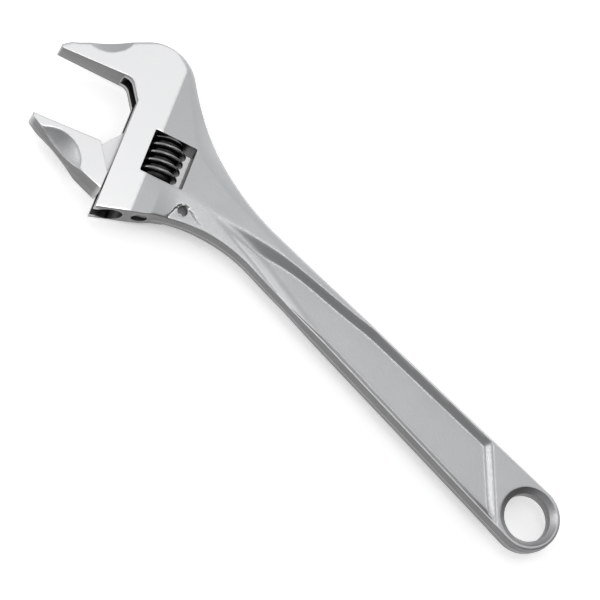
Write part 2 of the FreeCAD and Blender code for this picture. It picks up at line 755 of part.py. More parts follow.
def make_worm():
    """Worm: one right-hand thread on a core, ends trimmed square, with a bore and a room for its spring."""
    turns = "2 * (floor(window_length / worm_pitch / 2) + 1)"
    helix = doc.addObject("Part::Helix", "thread_path")
    bind(helix, "Pitch", "worm_pitch")
    bind(helix, "Height", f"worm_pitch * ({turns})")
    bind(helix, "Radius", "worm_radius")
    doc.recompute()
    section = thread_section()
    doc.recompute()
    thread = doc.addObject("Part::Sweep", "thread")
    thread.Sections = [section]
    thread.Spine = helix
    thread.Solid = True
    thread.Frenet = True
    bind(thread, "Placement.Base.z", f"0 - worm_pitch * ({turns}) / 2")
    length = "window_length - 2 * worm_end_play"
    core = primitive("Cylinder", "worm_core", Radius="worm_radius - thread_depth", Height=length)
    bind(core, "Placement.Base.z", f"0 - ({length}) / 2")
    doc.recompute()
    envelope = primitive("Cylinder", "worm_envelope", Radius="worm_radius + cut_margin", Height=length)
    bind(envelope, "Placement.Base.z", f"0 - ({length}) / 2")
    trimmed = combine("Common", "thread_trimmed", thread, envelope)
    doc.recompute()
    threaded = combine("Fuse", "worm_threaded", core, trimmed)
    hole = primitive("Cylinder", "worm_hole", Radius="pin_radius + pin_clearance", Height="2 * window_length")
    bind(hole, "Placement.Base.z", "0 - window_length")
    bored = combine("Cut", "worm_bored", threaded, hole)
    spring_room = primitive("Cylinder", "spring_pocket", Radius="spring_pocket_radius",
                            Height="spring_pocket_deep + cut_margin")
    bind(spring_room, "Placement.Base.z", f"0 - ({length}) / 2 - cut_margin")
    worm = combine("Cut", "worm", bored, spring_room)
    worm.Label = "worm"
    stand_on_worm_axis(worm, WORM_MIDDLE)
    return worm


def make_worm_pin():
    """Pin that the worm turns on: plain shank, thicker head at the heel with a driver slot."""
    body = new_body("worm_pin")
    stand_on_worm_axis(body, "0")
    section = new_sketch(body, "pin_section", role="XZ_Plane")
    polygon(section, [
        ("0", PIN_TIP),
        ("pin_radius - pin_chamfer", PIN_TIP),
        ("pin_radius", f"{PIN_TIP} + pin_chamfer"),
        ("pin_radius", PIN_SHOULDER),
        ("pin_head_radius", PIN_SHOULDER),
        ("pin_head_radius", f"{PIN_END} - pin_chamfer"),
        ("pin_head_radius - pin_chamfer", PIN_END),
        ("0", PIN_END),
    ])
    turned(body, "pin_turned", "Revolution", section)
    doc.recompute()
    slot = new_sketch(body, "driver_slot_sketch", height=f"{PIN_END} - driver_slot_deep")
    polygon(slot, [
        ("0 - pin_head_radius - cut_margin", "0 - driver_slot_width / 2"),
        ("pin_head_radius + cut_margin", "0 - driver_slot_width / 2"),
        ("pin_head_radius + cut_margin", "driver_slot_width / 2"),
        ("0 - pin_head_radius - cut_margin", "driver_slot_width / 2"),
    ])
    pocket_up(body, "driver_slot", slot, "driver_slot_deep + cut_margin")
    return body


def make_worm_spring():
    """Coil spring round the pin, squeezed between the window's upper wall and the worm's pocket."""
    wire = "spring_wire / 2"
    coil_radius = "(pin_radius + spring_pocket_radius) / 2"
    room = "spring_pocket_deep + worm_end_play - spring_wire - 2 * spring_end_room"
    helix = doc.addObject("Part::Helix", "spring_path")
    bind(helix, "Pitch", f"({room}) / spring_turns")
    bind(helix, "Height", room)
    bind(helix, "Radius", coil_radius)
    doc.recompute()
    ring = doc.addObject("Sketcher::SketchObject", "spring_section")
    ring.Placement = FreeCAD.Placement(Vector(), FreeCAD.Rotation(Vector(1, 0, 0), 90))
    circle(ring, wire, (coil_radius, "0"))
    doc.recompute()
    spring = doc.addObject("Part::Sweep", "worm_spring")
    spring.Sections = [ring]
    spring.Spine = helix
    spring.Solid = True
    spring.Frenet = True
    spring.Label = "worm_spring"
    stand_on_worm_axis(spring, f"window_top + spring_end_room + {wire}")
    return spring


parts = [make_wrench_body(), make_movable_jaw(), make_worm(), make_worm_pin(), make_worm_spring()]
doc.recompute()

for item in doc.Objects:
    if "Invalid" in item.State or "Error" in item.State:
        raise RuntimeError(f"{item.Name} failed: {item.State}")
for part in parts:
    if part.Shape.isNull() or not part.Shape.isValid():
        raise RuntimeError(f"{part.Label} has no valid shape")

os.makedirs("parts", exist_ok=True)
for part in parts:
    part.Shape.exportStep(f"parts/{part.Label}.step")
    box = part.Shape.BoundBox
    print(f"{part.Label}: {part.Shape.Volume:.0f} mm3, {len(part.Shape.Solids)} solid")
    print(f"  x {box.XMin:.1f} to {box.XMax:.1f}, y {box.YMin:.1f} to {box.YMax:.1f},"
          f" z {box.ZMin:.1f} to {box.ZMax:.1f}")
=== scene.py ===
# %% [markdown]
# # Adjustable wrench: forged body, sliding jaw and thumb worm
# A drop-forged hand tool has two kinds of surface. The forged skin is soft-edged and satin, because it is only
# tumbled before it is plated. The jaws and the side of the head are ground flat and polished, so they stay bright
# and have crisp edges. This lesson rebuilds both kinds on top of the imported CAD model, which gives every place and
# size, and leaves the worm's pin and spring as the CAD made them.

# %% Load the CAD frame
import json
import math

import bmesh
import bpy
import numpy as np
from mathutils import Matrix, Vector
from mathutils.geometry import delaunay_2d_cdt

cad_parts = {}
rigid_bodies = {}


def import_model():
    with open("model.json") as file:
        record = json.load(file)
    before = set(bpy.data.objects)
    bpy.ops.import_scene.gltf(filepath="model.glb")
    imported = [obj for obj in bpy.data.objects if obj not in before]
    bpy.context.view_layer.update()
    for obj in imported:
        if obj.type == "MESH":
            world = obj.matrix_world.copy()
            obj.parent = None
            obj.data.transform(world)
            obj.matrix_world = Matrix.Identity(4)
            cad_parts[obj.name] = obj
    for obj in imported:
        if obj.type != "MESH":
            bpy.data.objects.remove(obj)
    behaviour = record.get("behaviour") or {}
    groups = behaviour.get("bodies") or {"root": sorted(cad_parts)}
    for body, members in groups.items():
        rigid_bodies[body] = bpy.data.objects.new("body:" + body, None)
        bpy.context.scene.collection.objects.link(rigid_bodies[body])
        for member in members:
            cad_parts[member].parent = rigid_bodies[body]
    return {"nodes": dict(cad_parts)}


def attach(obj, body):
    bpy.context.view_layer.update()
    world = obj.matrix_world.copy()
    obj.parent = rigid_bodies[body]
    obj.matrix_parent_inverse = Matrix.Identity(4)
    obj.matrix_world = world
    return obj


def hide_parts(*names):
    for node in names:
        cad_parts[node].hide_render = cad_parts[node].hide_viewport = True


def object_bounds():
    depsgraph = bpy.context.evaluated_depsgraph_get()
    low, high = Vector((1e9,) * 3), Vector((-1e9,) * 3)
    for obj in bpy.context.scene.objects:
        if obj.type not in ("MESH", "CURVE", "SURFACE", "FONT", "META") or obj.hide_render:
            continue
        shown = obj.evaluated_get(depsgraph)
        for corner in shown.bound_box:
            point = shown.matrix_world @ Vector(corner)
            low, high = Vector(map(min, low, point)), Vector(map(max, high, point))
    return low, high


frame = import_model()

cad_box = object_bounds()
print("CAD nodes:", sorted(frame["nodes"]))

# %% [markdown]
# Lengths below are in millimetres, because that is how a wrench is drawn, and become metres only as they enter a
# mesh. The head is turned 22.5 degrees to the handle, so its shapes are easier to write in a frame of their own:
# u runs out along the jaws from the throat corner, and v runs along the slide towards the movable jaw.

# %% Units and the head's own frame
MM = 0.001
JAW_ANGLE = math.radians(22.5)
HEAD_AT = np.array([208.8, -6.0])
OUT = np.array([math.cos(JAW_ANGLE), math.sin(JAW_ANGLE)])
SLIDE = np.array([-math.sin(JAW_ANGLE), math.cos(JAW_ANGLE)])


def from_head(uv):
    """Main-frame x, y of head-frame points: the corner, plus u times the jaw direction, plus v times the slide."""
    uv = np.atleast_2d(np.asarray(uv, float))
    return HEAD_AT + uv[:, :1] * OUT + uv[:, 1:2] * SLIDE


def to_head(xy):
    """Head-frame u, v of main-frame points: the offset from the corner, measured along the two directions."""
    away = np.asarray(xy, float) - HEAD_AT
    return away @ OUT, away @ SLIDE


print("throat corner at", HEAD_AT, "mm")

# %% [markdown]
# Forged and ground surfaces meet in creases that are never perfectly sharp. A smooth minimum is the usual way to
# write that: where two heights are further apart than r the lower one wins, and within r they blend.

# %% Blends
def soft_min(a, b, r):
    """Lower of a and b; where they differ by less than r, a parabola that touches both."""
    share = np.clip(0.5 + 0.5 * (b - a) / r, 0.0, 1.0)
    return b + (a - b) * share - r * share * (1.0 - share)


def soft_max(a, b, r):
    """Higher of a and b, blended the same way."""
    return -soft_min(-a, -b, r)


def soft_step(t, r):
    """t held between 0 and 1, with both ends rounded by r."""
    return soft_min(soft_max(t, 0.0, r), 1.0, r)


# %% [markdown]
# The side view of the forging is straight lines joined by tangent arcs, as on the drawing. Each stretch also says
# how its edge is finished: forged edges are rounded and their sides lean in from the parting line, while ground
# edges are square and almost sharp.

# %% Outline of the forging
STEP = 0.8
END_RADIUS, NECK_HALF, NECK_REACH = 12.86, 8.75, 138.8
TOP_NECK_RADIUS, LOW_NECK_RADIUS, CROWN_RADIUS = 97.0, 58.0, 16.6
CROWN_AT, NOSE_AT = (-2.9, -8.9), (30.2, -11.4)
JAW_REACH, TIP_BACK = 33.2, -8.8
HEEL_AT, HEEL_TILT = (0.0, 45.3), math.radians(17.3)
THROAT, THROAT_TILT, THROAT_FILLET = 7.4, math.radians(32.5), 3.8
HANDLE_TAPER = (END_RADIUS - NECK_HALF) / NECK_REACH
FORGED, EASED, GROUND = (0.9, 0.28), (0.45, 0.0), (0.22, 0.0)


def run(start, end, step=STEP):
    """Points along a straight stretch, its end left for the next stretch to begin with."""
    start, end = np.asarray(start, float), np.asarray(end, float)
    count = max(1, int(round(np.linalg.norm(end - start) / step)))
    return start + (end - start) * (np.arange(count) / count)[:, None]


def bend(centre, radius, first, last):
    """Points along an arc, from one angle in radians to another, its end left out."""
    count = max(3, int(round(abs(last - first) * radius / STEP)))
    turn = first + (last - first) * np.arange(count) / count
    return np.asarray(centre) + radius * np.stack([np.cos(turn), np.sin(turn)], axis=1)


def half_handle(x):
    """Half width of the tapering handle at a distance from the hang hole."""
    return END_RADIUS - HANDLE_TAPER * x


def forging_outline():
    """Closed anticlockwise outline, with each point's edge radius and lean, from lines and tangent arcs."""
    crown, heel, nose = from_head([CROWN_AT, HEEL_AT, NOSE_AT])
    heel_slope = JAW_ANGLE + HEEL_TILT
    reach = math.sqrt((TOP_NECK_RADIUS + CROWN_RADIUS) ** 2 - (crown[1] + NECK_HALF + TOP_NECK_RADIUS) ** 2)
    top = np.array([crown[0] - reach, -NECK_HALF - TOP_NECK_RADIUS])
    low_y = NECK_HALF + LOW_NECK_RADIUS
    low_x = heel[0] + ((low_y - heel[1]) * math.cos(heel_slope) - LOW_NECK_RADIUS) / math.sin(heel_slope)
    low = np.array([low_x, low_y])
    low_end = low + LOW_NECK_RADIUS * np.array([math.sin(heel_slope), -math.cos(heel_slope)])
    spread = nose - crown
    leave = math.atan2(spread[1], spread[0]) - math.acos(CROWN_RADIUS / np.linalg.norm(spread))
    crown_end = crown + CROWN_RADIUS * np.array([math.cos(leave), math.sin(leave)])
    meet = math.atan2(crown[1] - top[1], crown[0] - top[0])
    fillet_out = THROAT * math.tan(THROAT_TILT) + THROAT_FILLET * math.tan(math.radians(45) - THROAT_TILT / 2)
    fillet = from_head([fillet_out, THROAT_FILLET - THROAT])[0]
    wall_turn = math.pi + JAW_ANGLE + THROAT_TILT
    wall_start = fillet + THROAT_FILLET * np.array([math.cos(wall_turn), math.sin(wall_turn)])
    tip_low, tip, face = from_head([[JAW_REACH, TIP_BACK], [JAW_REACH, -THROAT], [fillet_out, -THROAT]])
    stretches = [
        (bend((0, 0), END_RADIUS, math.pi / 2, 1.5 * math.pi), FORGED),
        (run((0, -END_RADIUS), (top[0], -NECK_HALF)), FORGED),
        (bend(top, TOP_NECK_RADIUS, math.pi / 2, meet), FORGED),
        (bend(crown, CROWN_RADIUS, meet - math.pi, leave), FORGED),
        (run(crown_end, nose), FORGED),
        (run(nose, tip_low), EASED),
        (run(tip_low, tip), EASED),
        (run(tip, face), GROUND),
        (bend(fillet, THROAT_FILLET, 1.5 * math.pi + JAW_ANGLE, wall_turn), GROUND),
        (run(wall_start, HEAD_AT), GROUND),
        (run(HEAD_AT, heel), GROUND),
        (run(heel, low_end), EASED),
        (bend(low, LOW_NECK_RADIUS, 1.5 * math.pi + heel_slope, 1.5 * math.pi), FORGED),
        (run((low[0], NECK_HALF), (0, END_RADIUS)), FORGED),
    ]
    points = np.concatenate([stretch for stretch, _ in stretches])
    finish = np.concatenate([np.tile(edge, (len(stretch), 1)) for stretch, edge in stretches])
    for _ in range(3):
        finish = (np.roll(finish, 1, axis=0) + finish + np.roll(finish, -1, axis=0)) / 3
    return points, finish[:, 0], finish[:, 1]


outline, edge_radius, edge_lean = forging_outline()
print("outline points:", len(outline))

# %% [markdown]
# A forging is close to a height field: from either side, one height belongs to each place in plan. So its whole
# upper skin can be one formula, half the thickness as a function of x and y, built from planes (the flat, the
# shoulder, the ramp, the jaw's taper), a rounded band along the crown and neck, the sunk channel of the handle, a
# ball-shaped dish and the recess at the heel. The lower skin is the same formula below mid thickness.

# %% Creases drawn on the plan
WALL_TOP = np.array([(0, -11.7), (88, -9.05), (98, -7.75), (108.7, -6.6), (118, -5.75), (127.5, -4.65),
                     (135.4, -3.4), (143.7, -1.2), (149.5, 0.7), (159.7, 3.7), (169.5, 6.9), (176, 9.0), (260, 40)])
WALL_FOOT = np.array([(0, -9.3), (88, -6.65), (98, -5.3), (106.3, -4.55), (117.4, -3.6), (125, -2.5),
                      (132, -0.5), (139.6, 2.2), (147.9, 5.1), (160, 9.3), (176, 15.0), (260, 50)])
BAND_WIDTH = np.array([(80, 0.0), (100, 2.2), (118, 3.7), (128.8, 4.1), (137, 3.3), (145.6, 3.0), (153.7, 3.6),
                       (162, 4.6), (170.5, 6.1), (180.5, 7.3), (190, 4.6), (198, 2.9), (203, 2.6), (206, 2.6),
                       (208.6, 1.6), (211.7, 0.8), (216, 0.0)])
BACK_FROM = 60.0


def on(curve, x):
    """Value of a drawn curve at x, straight between its points."""
    return np.interp(x, curve[:, 0], curve[:, 1])


def smooth_curve(curve):
    """The same curve resampled every millimetre and eased with a running mean, so that it has no kinks."""
    x = np.arange(curve[0, 0], curve[-1, 0], 1.0)
    y = on(curve, x)
    kernel = np.ones(9) / 9
    eased = np.convolve(np.pad(y, 4, mode="edge"), kernel, mode="valid")
    return np.stack([x, eased], axis=1)


wall_top, wall_foot, band_width = smooth_curve(WALL_TOP), smooth_curve(WALL_FOOT), smooth_curve(BAND_WIDTH)


def distance_to(loop, xy, closed=True):
    """Distance from each point to the nearest side of a polyline: the foot of the perpendicular, held to the side."""
    a = loop
    b = np.roll(loop, -1, axis=0) if closed else loop[1:]
    a = a if closed else loop[:-1]
    best = np.full(len(xy), 1e9)
    side = b - a
    length2 = np.maximum((side ** 2).sum(axis=1), 1e-12)
    for chunk in range(0, len(xy), 4000):
        p = xy[chunk:chunk + 4000, None, :]
        t = np.clip(((p - a) * side).sum(axis=2) / length2, 0, 1)
        gap = p - (a + t[..., None] * side)
        best[chunk:chunk + 4000] = np.sqrt((gap ** 2).sum(axis=2)).min(axis=1)
    return best


tip_back = from_head([JAW_REACH, TIP_BACK])[0]
back_edge = outline[outline[:, 0] > BACK_FROM]
back_edge = back_edge[:int(np.argmin(np.linalg.norm(back_edge - tip_back, axis=1)))]
print("band follows", len(back_edge), "points of the back edge")

# %% [markdown]
# The skin's formula reads like a list of the forging's features. Each one is a plane or a simple curve, and each
# joins the others through a soft minimum, so a crease can be as crisp or as worn as the real one.

# %% Half thickness of the forging
FLAT, SHOULDER, HANDLE, FLOOR = 6.1, 4.9, 3.95, 1.55
STRAP, SHOULDER_SLOPE = 12.6, 0.0805
RAMP_START, RAMP_SLOPE = 27.5, 0.0292
TAPER_START, TAPER_SLOPE = 1.5, 0.0678
FACET_AT, FACET_WAY, FACET_SLOPE = np.array([128.0, -4.6]), np.array([-0.234, 0.972]), 0.085
FACET_BEHIND, FACET_FROM, FACET_OVER = -20.0, 112.0, 26.0
BAND_SLOPE, BAND_CURVE = 0.11, 0.011
FLANK_AT, FLANK_WAY, FLANK_SLOPE = np.array([138.0, 2.0]), np.array([0.154, 0.988]), 0.47
LOWER_WALL_ENDS = 124.0
END_WALL = np.array([math.cos(math.radians(44.2)), math.sin(math.radians(44.2))])
END_WALL_TOP, END_WALL_WIDTH = 12.8, 2.4
DISH_FIXED = ((20.4, -24.6), 11.8, 3.2)
RECESS_TIP, RECESS_NEAR, RECESS_FLOOR, RECESS_STEEP = (168.4, 9.5), 170.95, 3.4, 2.6


def jaw_rim(u):
    """Height of a jaw's flat: level as far as the taper's start, then falling straight towards the tip."""
    return FLAT - TAPER_SLOPE * np.maximum(u - TAPER_START, 0)


def dish(u, v, at, radius, depth, rim):
    """Floor of a round dish: the rim's height, less a parabola that is deepest at the middle."""
    away = ((u - at[0]) ** 2 + (v - at[1]) ** 2) / radius ** 2
    return rim - depth * (1.0 - away)


def upper_field(xy):
    """Height without the channel: flat, shoulder, ramp and handle one after another, then jaw taper and band."""
    u, v = to_head(xy)
    shoulder = FLAT - SHOULDER_SLOPE * (-u - STRAP)
    ramp = SHOULDER - RAMP_SLOPE * (-u - RAMP_START)
    behind = soft_max(soft_max(shoulder, ramp, 0.25), HANDLE, 0.25)
    below = (xy - FACET_AT) @ FACET_WAY
    share = np.clip((FACET_BEHIND - u) / 7.0, 0, 1) * soft_step((xy[:, 0] - FACET_FROM) / FACET_OVER, 0.4)
    behind = behind - FACET_SLOPE * soft_max(below, 0.0, 1.2) * share
    height = soft_min(np.full(len(u), FLAT), behind, 0.04)
    height = soft_min(height, FLAT - TAPER_SLOPE * (u - TAPER_START), 0.08)
    into_band = np.maximum(on(band_width, xy[:, 0]) - distance_to(back_edge, xy, closed=False), 0.0)
    into_band[xy[:, 1] > 6.0] = 0.0
    height = height - BAND_SLOPE * into_band - BAND_CURVE * into_band ** 2
    return soft_min(height, dish(u, v, *DISH_FIXED, jaw_rim(u)), 0.12)


def lower_wall(x):
    """Top line and width of the channel's lower wall: both narrow until the wall runs out at the neck."""
    top = half_handle(x) - np.interp(x, [0, 100, LOWER_WALL_ENDS], [0.85, 0.85, 0.0])
    return top, np.interp(x, [0, 60, 92, 119, 126], [2.5, 2.7, 2.9, 0.8, 0.6])


def channel_depth(xy):
    """Share of the way down into the channel, 0 outside and 1 on its floor: the lowest of its three walls' ramps."""
    x, y = xy[:, 0], xy[:, 1]
    top, foot = on(wall_top, x), on(wall_foot, x)
    upper = (y - top) / (foot - top)
    crest, width = lower_wall(x)
    lower = (crest - y) / width
    lower = np.where(x > LOWER_WALL_ENDS, np.maximum(lower, (x - LOWER_WALL_ENDS) * 0.5), lower)
    end = (xy @ END_WALL - END_WALL_TOP) / END_WALL_WIDTH
    return soft_step(soft_min(soft_min(upper, lower, 0.15), end, 0.3), 0.14)


def channel_floor(xy):
    """Height of the channel's floor: flat, then a flank that climbs towards the heel and the lower edge."""
    climb = (xy - FLANK_AT) @ FLANK_WAY
    return soft_max(np.full(len(xy), FLOOR), FLOOR + FLANK_SLOPE * climb, 0.9)


def recess_wall(xy):
    """Floor of the heel's three-sided recess, with steep walls outside its two legs and its cut corner."""
    x, y = xy[:, 0], xy[:, 1]
    before, above = RECESS_TIP[0] - x, y - RECESS_TIP[1]
    near_head = RECESS_NEAR - x
    upper = (above - 0.2 * before) / 1.02
    corner = (above + 0.76 * before) / 1.26
    inside = soft_min(soft_min(near_head, upper, 0.2), corner, 0.2)
    outside = np.maximum(-inside, 0.0)
    floor = RECESS_FLOOR + 0.03 * np.maximum(20.0 - y, 0)
    return floor + outside * RECESS_STEEP + np.where(y < 5, 50.0, 0.0)


def half_thickness(xy):
    """The whole skin: the upper field, sunk towards the floor by the channel's depth, then the recess."""
    upper = upper_field(xy)
    floor = soft_min(channel_floor(xy), upper, 0.5)
    sunk = upper + (floor - upper) * channel_depth(xy)
    return soft_min(sunk, recess_wall(xy), 0.1)


probe = np.array([[60.0, 0.0], [150.0, -6.0], [200.0, -15.0], [130.0, 8.0]])
print("half thickness at four places:", np.round(half_thickness(probe), 2), "mm")

# %% [markdown]
# The plan is then filled with triangles. A constrained Delaunay triangulation keeps every rim and crease as an edge
# and fills the rest from a honeycomb of points, so the creases stay straight without a very fine grid. The walls
# are a profile carried along each rim: a rounded edge, a leaning side and a narrow ground band at the parting line.

# %% Rims and walls
PARTING_BAND = 0.4
SLIVER = 1e-4


def outward(loop):
    """Unit normals to the right of travel, lengthened at corners so that an offset keeps its distance."""
    ahead = np.roll(loop, -1, axis=0) - loop
    ahead /= np.linalg.norm(ahead, axis=1)[:, None]
    behind = np.roll(ahead, 1, axis=0)
    both = ahead + behind
    both /= np.maximum(np.linalg.norm(both, axis=1), 1e-9)[:, None]
    stretch = 1.0 / np.clip((both * ahead).sum(axis=1), 0.55, 1.0)
    return np.stack([both[:, 1], -both[:, 0]], axis=1) * stretch[:, None]


def mirrored(rows):
    """Rows of the upper half of a wall, then the same rows below mid thickness in reverse order."""
    upper = np.array(rows)
    lower = upper[::-1].copy()
    lower[..., 2] *= -1
    return np.concatenate([upper, lower])


def wall_rows(loop, radius, lean, height_of):
    """Rows of a wall from the upper rim to the lower one: quarter round, leaning side, parting band, mirrored."""
    normal = outward(loop)
    height = height_of(loop - normal * (lean + radius)[:, None])
    rows = []
    for angle in np.radians([0.0, 22.5, 45.0, 67.5, 90.0]):
        inset = lean + radius * (1.0 - math.sin(angle))
        rows.append(np.column_stack([loop - normal * inset[:, None], height - radius * (1.0 - math.cos(angle))]))
    foot = loop - normal * (0.15 * lean)[:, None]
    rows.append(np.column_stack([foot, np.full(len(loop), PARTING_BAND + 0.06)]))
    rows.append(np.column_stack([loop, np.full(len(loop), PARTING_BAND)]))
    return mirrored(rows)


def inside(loop, xy):
    """True where a point lies inside a closed loop: an odd number of sides cross the ray towards +x."""
    a, b = loop, np.roll(loop, -1, axis=0)
    odd = np.zeros(len(xy), bool)
    for chunk in range(0, len(xy), 4000):
        p = xy[chunk:chunk + 4000, None, :]
        crosses = (a[:, 1] > p[..., 1]) != (b[:, 1] > p[..., 1])
        rise = np.where(np.abs(b[:, 1] - a[:, 1]) < 1e-12, 1e-12, b[:, 1] - a[:, 1])
        at = a[:, 0] + (p[..., 1] - a[:, 1]) / rise * (b[:, 0] - a[:, 0])
        odd[chunk:chunk + 4000] = (crosses & (p[..., 0] < at)).sum(axis=1) % 2 == 1
    return odd


def honeycomb(low, high, spacing):
    """Points of a triangular lattice over a rectangle, every other row shifted by half a step."""
    rows = np.arange(low[1], high[1], spacing * math.sqrt(3) / 2)
    columns = np.arange(low[0], high[0], spacing)
    x, y = np.meshgrid(columns, rows)
    x = x + (np.arange(len(rows)) % 2)[:, None] * spacing / 2
    return np.stack([x.ravel(), y.ravel()], axis=1)


def fill_plan(rims, creases, spacing):
    """Triangles over the plan inside the first rim and outside the others, through the creases' points."""
    outer, holes = rims[0], rims[1:]
    fixed = np.concatenate(rims)
    edges, start = [], 0
    for rim in rims:
        count = len(rim)
        ids = np.arange(start, start + count)
        edges += np.stack([ids, np.roll(ids, -1)], axis=1).tolist()
        start += count

    def free(points, room):
        keep = inside(outer, points)
        for hole in holes:
            keep &= ~inside(hole, points)
        for rim in rims:
            keep &= distance_to(rim, points) > room
        return keep

    lines = []
    for crease in creases:
        keep = free(crease, 0.3 * spacing)
        ids = np.cumsum(keep) - 1 + start
        pairs = keep[:-1] & keep[1:]
        edges += np.stack([ids[:-1][pairs], ids[1:][pairs]], axis=1).tolist()
        lines.append(crease[keep])
        start += int(keep.sum())
    field = honeycomb(outer.min(axis=0), outer.max(axis=0), spacing)
    field = field[free(field, 0.55 * spacing)]
    for crease in creases:
        field = field[distance_to(crease, field, closed=False) > 0.45 * spacing]
    cloud = np.concatenate([fixed] + lines + [field])
    flat, _, faces, origin, _, _ = delaunay_2d_cdt(cloud.tolist(), edges, [], 0, 1e-5)
    xy = np.array([tuple(p) for p in flat])
    triangles = np.array([f for f in faces if len(f) == 3])
    middle = xy[triangles].mean(axis=1)
    keep = inside(outer, middle)
    for hole in holes:
        keep &= ~inside(hole, middle)
    triangles = triangles[keep]
    a, b, c = xy[triangles[:, 0]], xy[triangles[:, 1]], xy[triangles[:, 2]]
    area = np.cross(b - a, c - a)
    whole = np.abs(area) > SLIVER
    triangles, flipped = triangles[whole], (area < 0)[whole]
    triangles[flipped] = triangles[flipped][:, ::-1]
    place = np.full(len(fixed), -1)
    for new, olds in enumerate(origin):
        for old in olds:
            if old < len(fixed):
                place[old] = new
    return xy, triangles, place


def new_mesh(name, points, faces):
    """Mesh of a closed surface from points in millimetres and faces that look outwards."""
    mesh = bpy.data.meshes.new(name)
    mesh.from_pydata((np.asarray(points) * MM).tolist(), [], [list(map(int, face)) for face in faces])
    mesh.validate()
    mesh.update()
    return mesh


def plate(name, loops, creases, spacing, height_of):
    """Closed solid between +height and -height: filled plan above and below, and walls round every rim."""
    walls = [wall(height_of) for wall in loops]
    rims = [rows[0][:, :2] for rows in walls]
    xy, triangles, place = fill_plan(rims, creases, spacing)
    height = height_of(xy)
    start = 0
    for rows in walls:
        height[place[start:start + len(rows[0])]] = rows[0][:, 2]
        start += len(rows[0])
    count = len(xy)
    points = [np.column_stack([xy, height]), np.column_stack([xy, -height])]
    faces = triangles.tolist() + (triangles[:, ::-1] + count).tolist()
    first, total = 0, 2 * count
    for rows in walls:
        sides = rows.shape[1]
        ids = np.empty(rows.shape[:2], int)
        ids[0] = place[first:first + sides]
        ids[-1] = ids[0] + count
        middle = rows[1:-1].reshape(-1, 3)
        ids[1:-1] = total + np.arange(len(middle)).reshape(-1, sides)
        points.append(middle)
        after = np.roll(ids, -1, axis=1)
        quads = np.stack([ids[:-1], ids[1:], after[1:], after[:-1]], axis=-1).reshape(-1, 4)
        faces += quads.tolist()
        first += sides
        total += len(middle)
    return new_mesh(name, np.concatenate(points), faces)


print("wall and fill helpers ready")

# %% [markdown]
# The head has straight machined features that a height field can't hold, because they run inside it: the slot for
# the jaw's web, the round bore for the rack, the room for the worm and the hole for its pin. They are cut as a
# machinist cuts them, with closed tool shapes: prisms over the plan, and shapes turned about the slide's direction.

# %% Cutting tools
def closed(mesh):
    """The same mesh with its faces turned outwards, as a closed tool needs."""
    work = bmesh.new()
    work.from_mesh(mesh)
    bmesh.ops.remove_doubles(work, verts=work.verts, dist=1e-7)
    bmesh.ops.recalc_face_normals(work, faces=work.faces)
    work.to_mesh(mesh)
    work.free()
    return mesh


def prism(name, loop, half):
    """Straight-sided block over a plan loop, from -half to +half."""
    count = len(loop)
    points = np.concatenate([np.column_stack([loop, np.full(count, z)]) for z in (-half, half)])
    ids = np.arange(count)
    sides = np.stack([ids, np.roll(ids, -1), np.roll(ids, -1) + count, ids + count], axis=1)
    return closed(new_mesh(name, points, sides.tolist() + [ids.tolist(), (ids + count).tolist()]))


def turned(name, across, profile, around):
    """Shape turned about the slide's direction at u = across, from (v, radius) pairs, with flat ends."""
    turn = np.linspace(0, 2 * math.pi, around, endpoint=False)
    v = np.array([[v] for v, _ in profile]) + 0 * turn
    radius = np.array([[r] for _, r in profile])
    plan = from_head(np.column_stack([(across + radius * np.cos(turn)).ravel(), v.ravel()]))
    points = np.column_stack([plan, (radius * np.sin(turn)).ravel()])
    ids = np.arange(len(profile) * around).reshape(len(profile), around)
    after = np.roll(ids, -1, axis=1)
    sides = np.stack([ids[:-1], ids[1:], after[1:], after[:-1]], axis=-1).reshape(-1, 4)
    return closed(new_mesh(name, points, sides.tolist() + [ids[0].tolist(), ids[-1].tolist()]))


def combine(mesh, other, operation):
    """Result of one boolean between closed meshes, as a new mesh."""
    made = bpy.data.objects.new("work", mesh)
    tool = bpy.data.objects.new("tool", other)
    bpy.context.scene.collection.objects.link(made)
    bpy.context.scene.collection.objects.link(tool)
    step = made.modifiers.new("combine", "BOOLEAN")
    step.operation, step.object, step.solver = operation, tool, "MANIFOLD"
    bpy.context.view_layer.update()
    result = bpy.data.meshes.new_from_object(made.evaluated_get(bpy.context.evaluated_depsgraph_get()))
    before, after = len(mesh.polygons), len(result.polygons)
    bpy.data.objects.remove(made)
    bpy.data.objects.remove(tool)
    print(f"{operation.lower()} with {other.name}: {before} faces to {after}")
    return result


# %% [markdown]
# The body is now one call: its outline, the window for the worm, the tether hole and the hang hole, then the four
# cuts. The hang hole's wall is a cone, then a short cylinder, because that chamfer catches the light as a crescent.

# %% Forge and machine the body
WINDOW = ((-27.1, 7.6), (-10.2, 24.8))
WORM_ACROSS, WORM_ROOM = -17.0, 8.2
RACK_ACROSS, RACK_BORE = -6.1, 4.9
PIN_HOLE, PIN_HEAD_HOLE = 2.28, 2.8
SLOT_HALF = 3.1
TETHER_AT, TETHER_RADIUS = np.array([RECESS_TIP[0], 11.7]), 1.9
HANG_POINTS = 110
CREASE_STEP, BODY_SPACING = 0.7, 0.62


def ring(centre, radius, count):
    """Clockwise circle, so that its outward side is the hole."""
    turn = -np.linspace(0, 2 * math.pi, count, endpoint=False)
    return np.asarray(centre) + radius * np.stack([np.cos(turn), np.sin(turn)], axis=1)


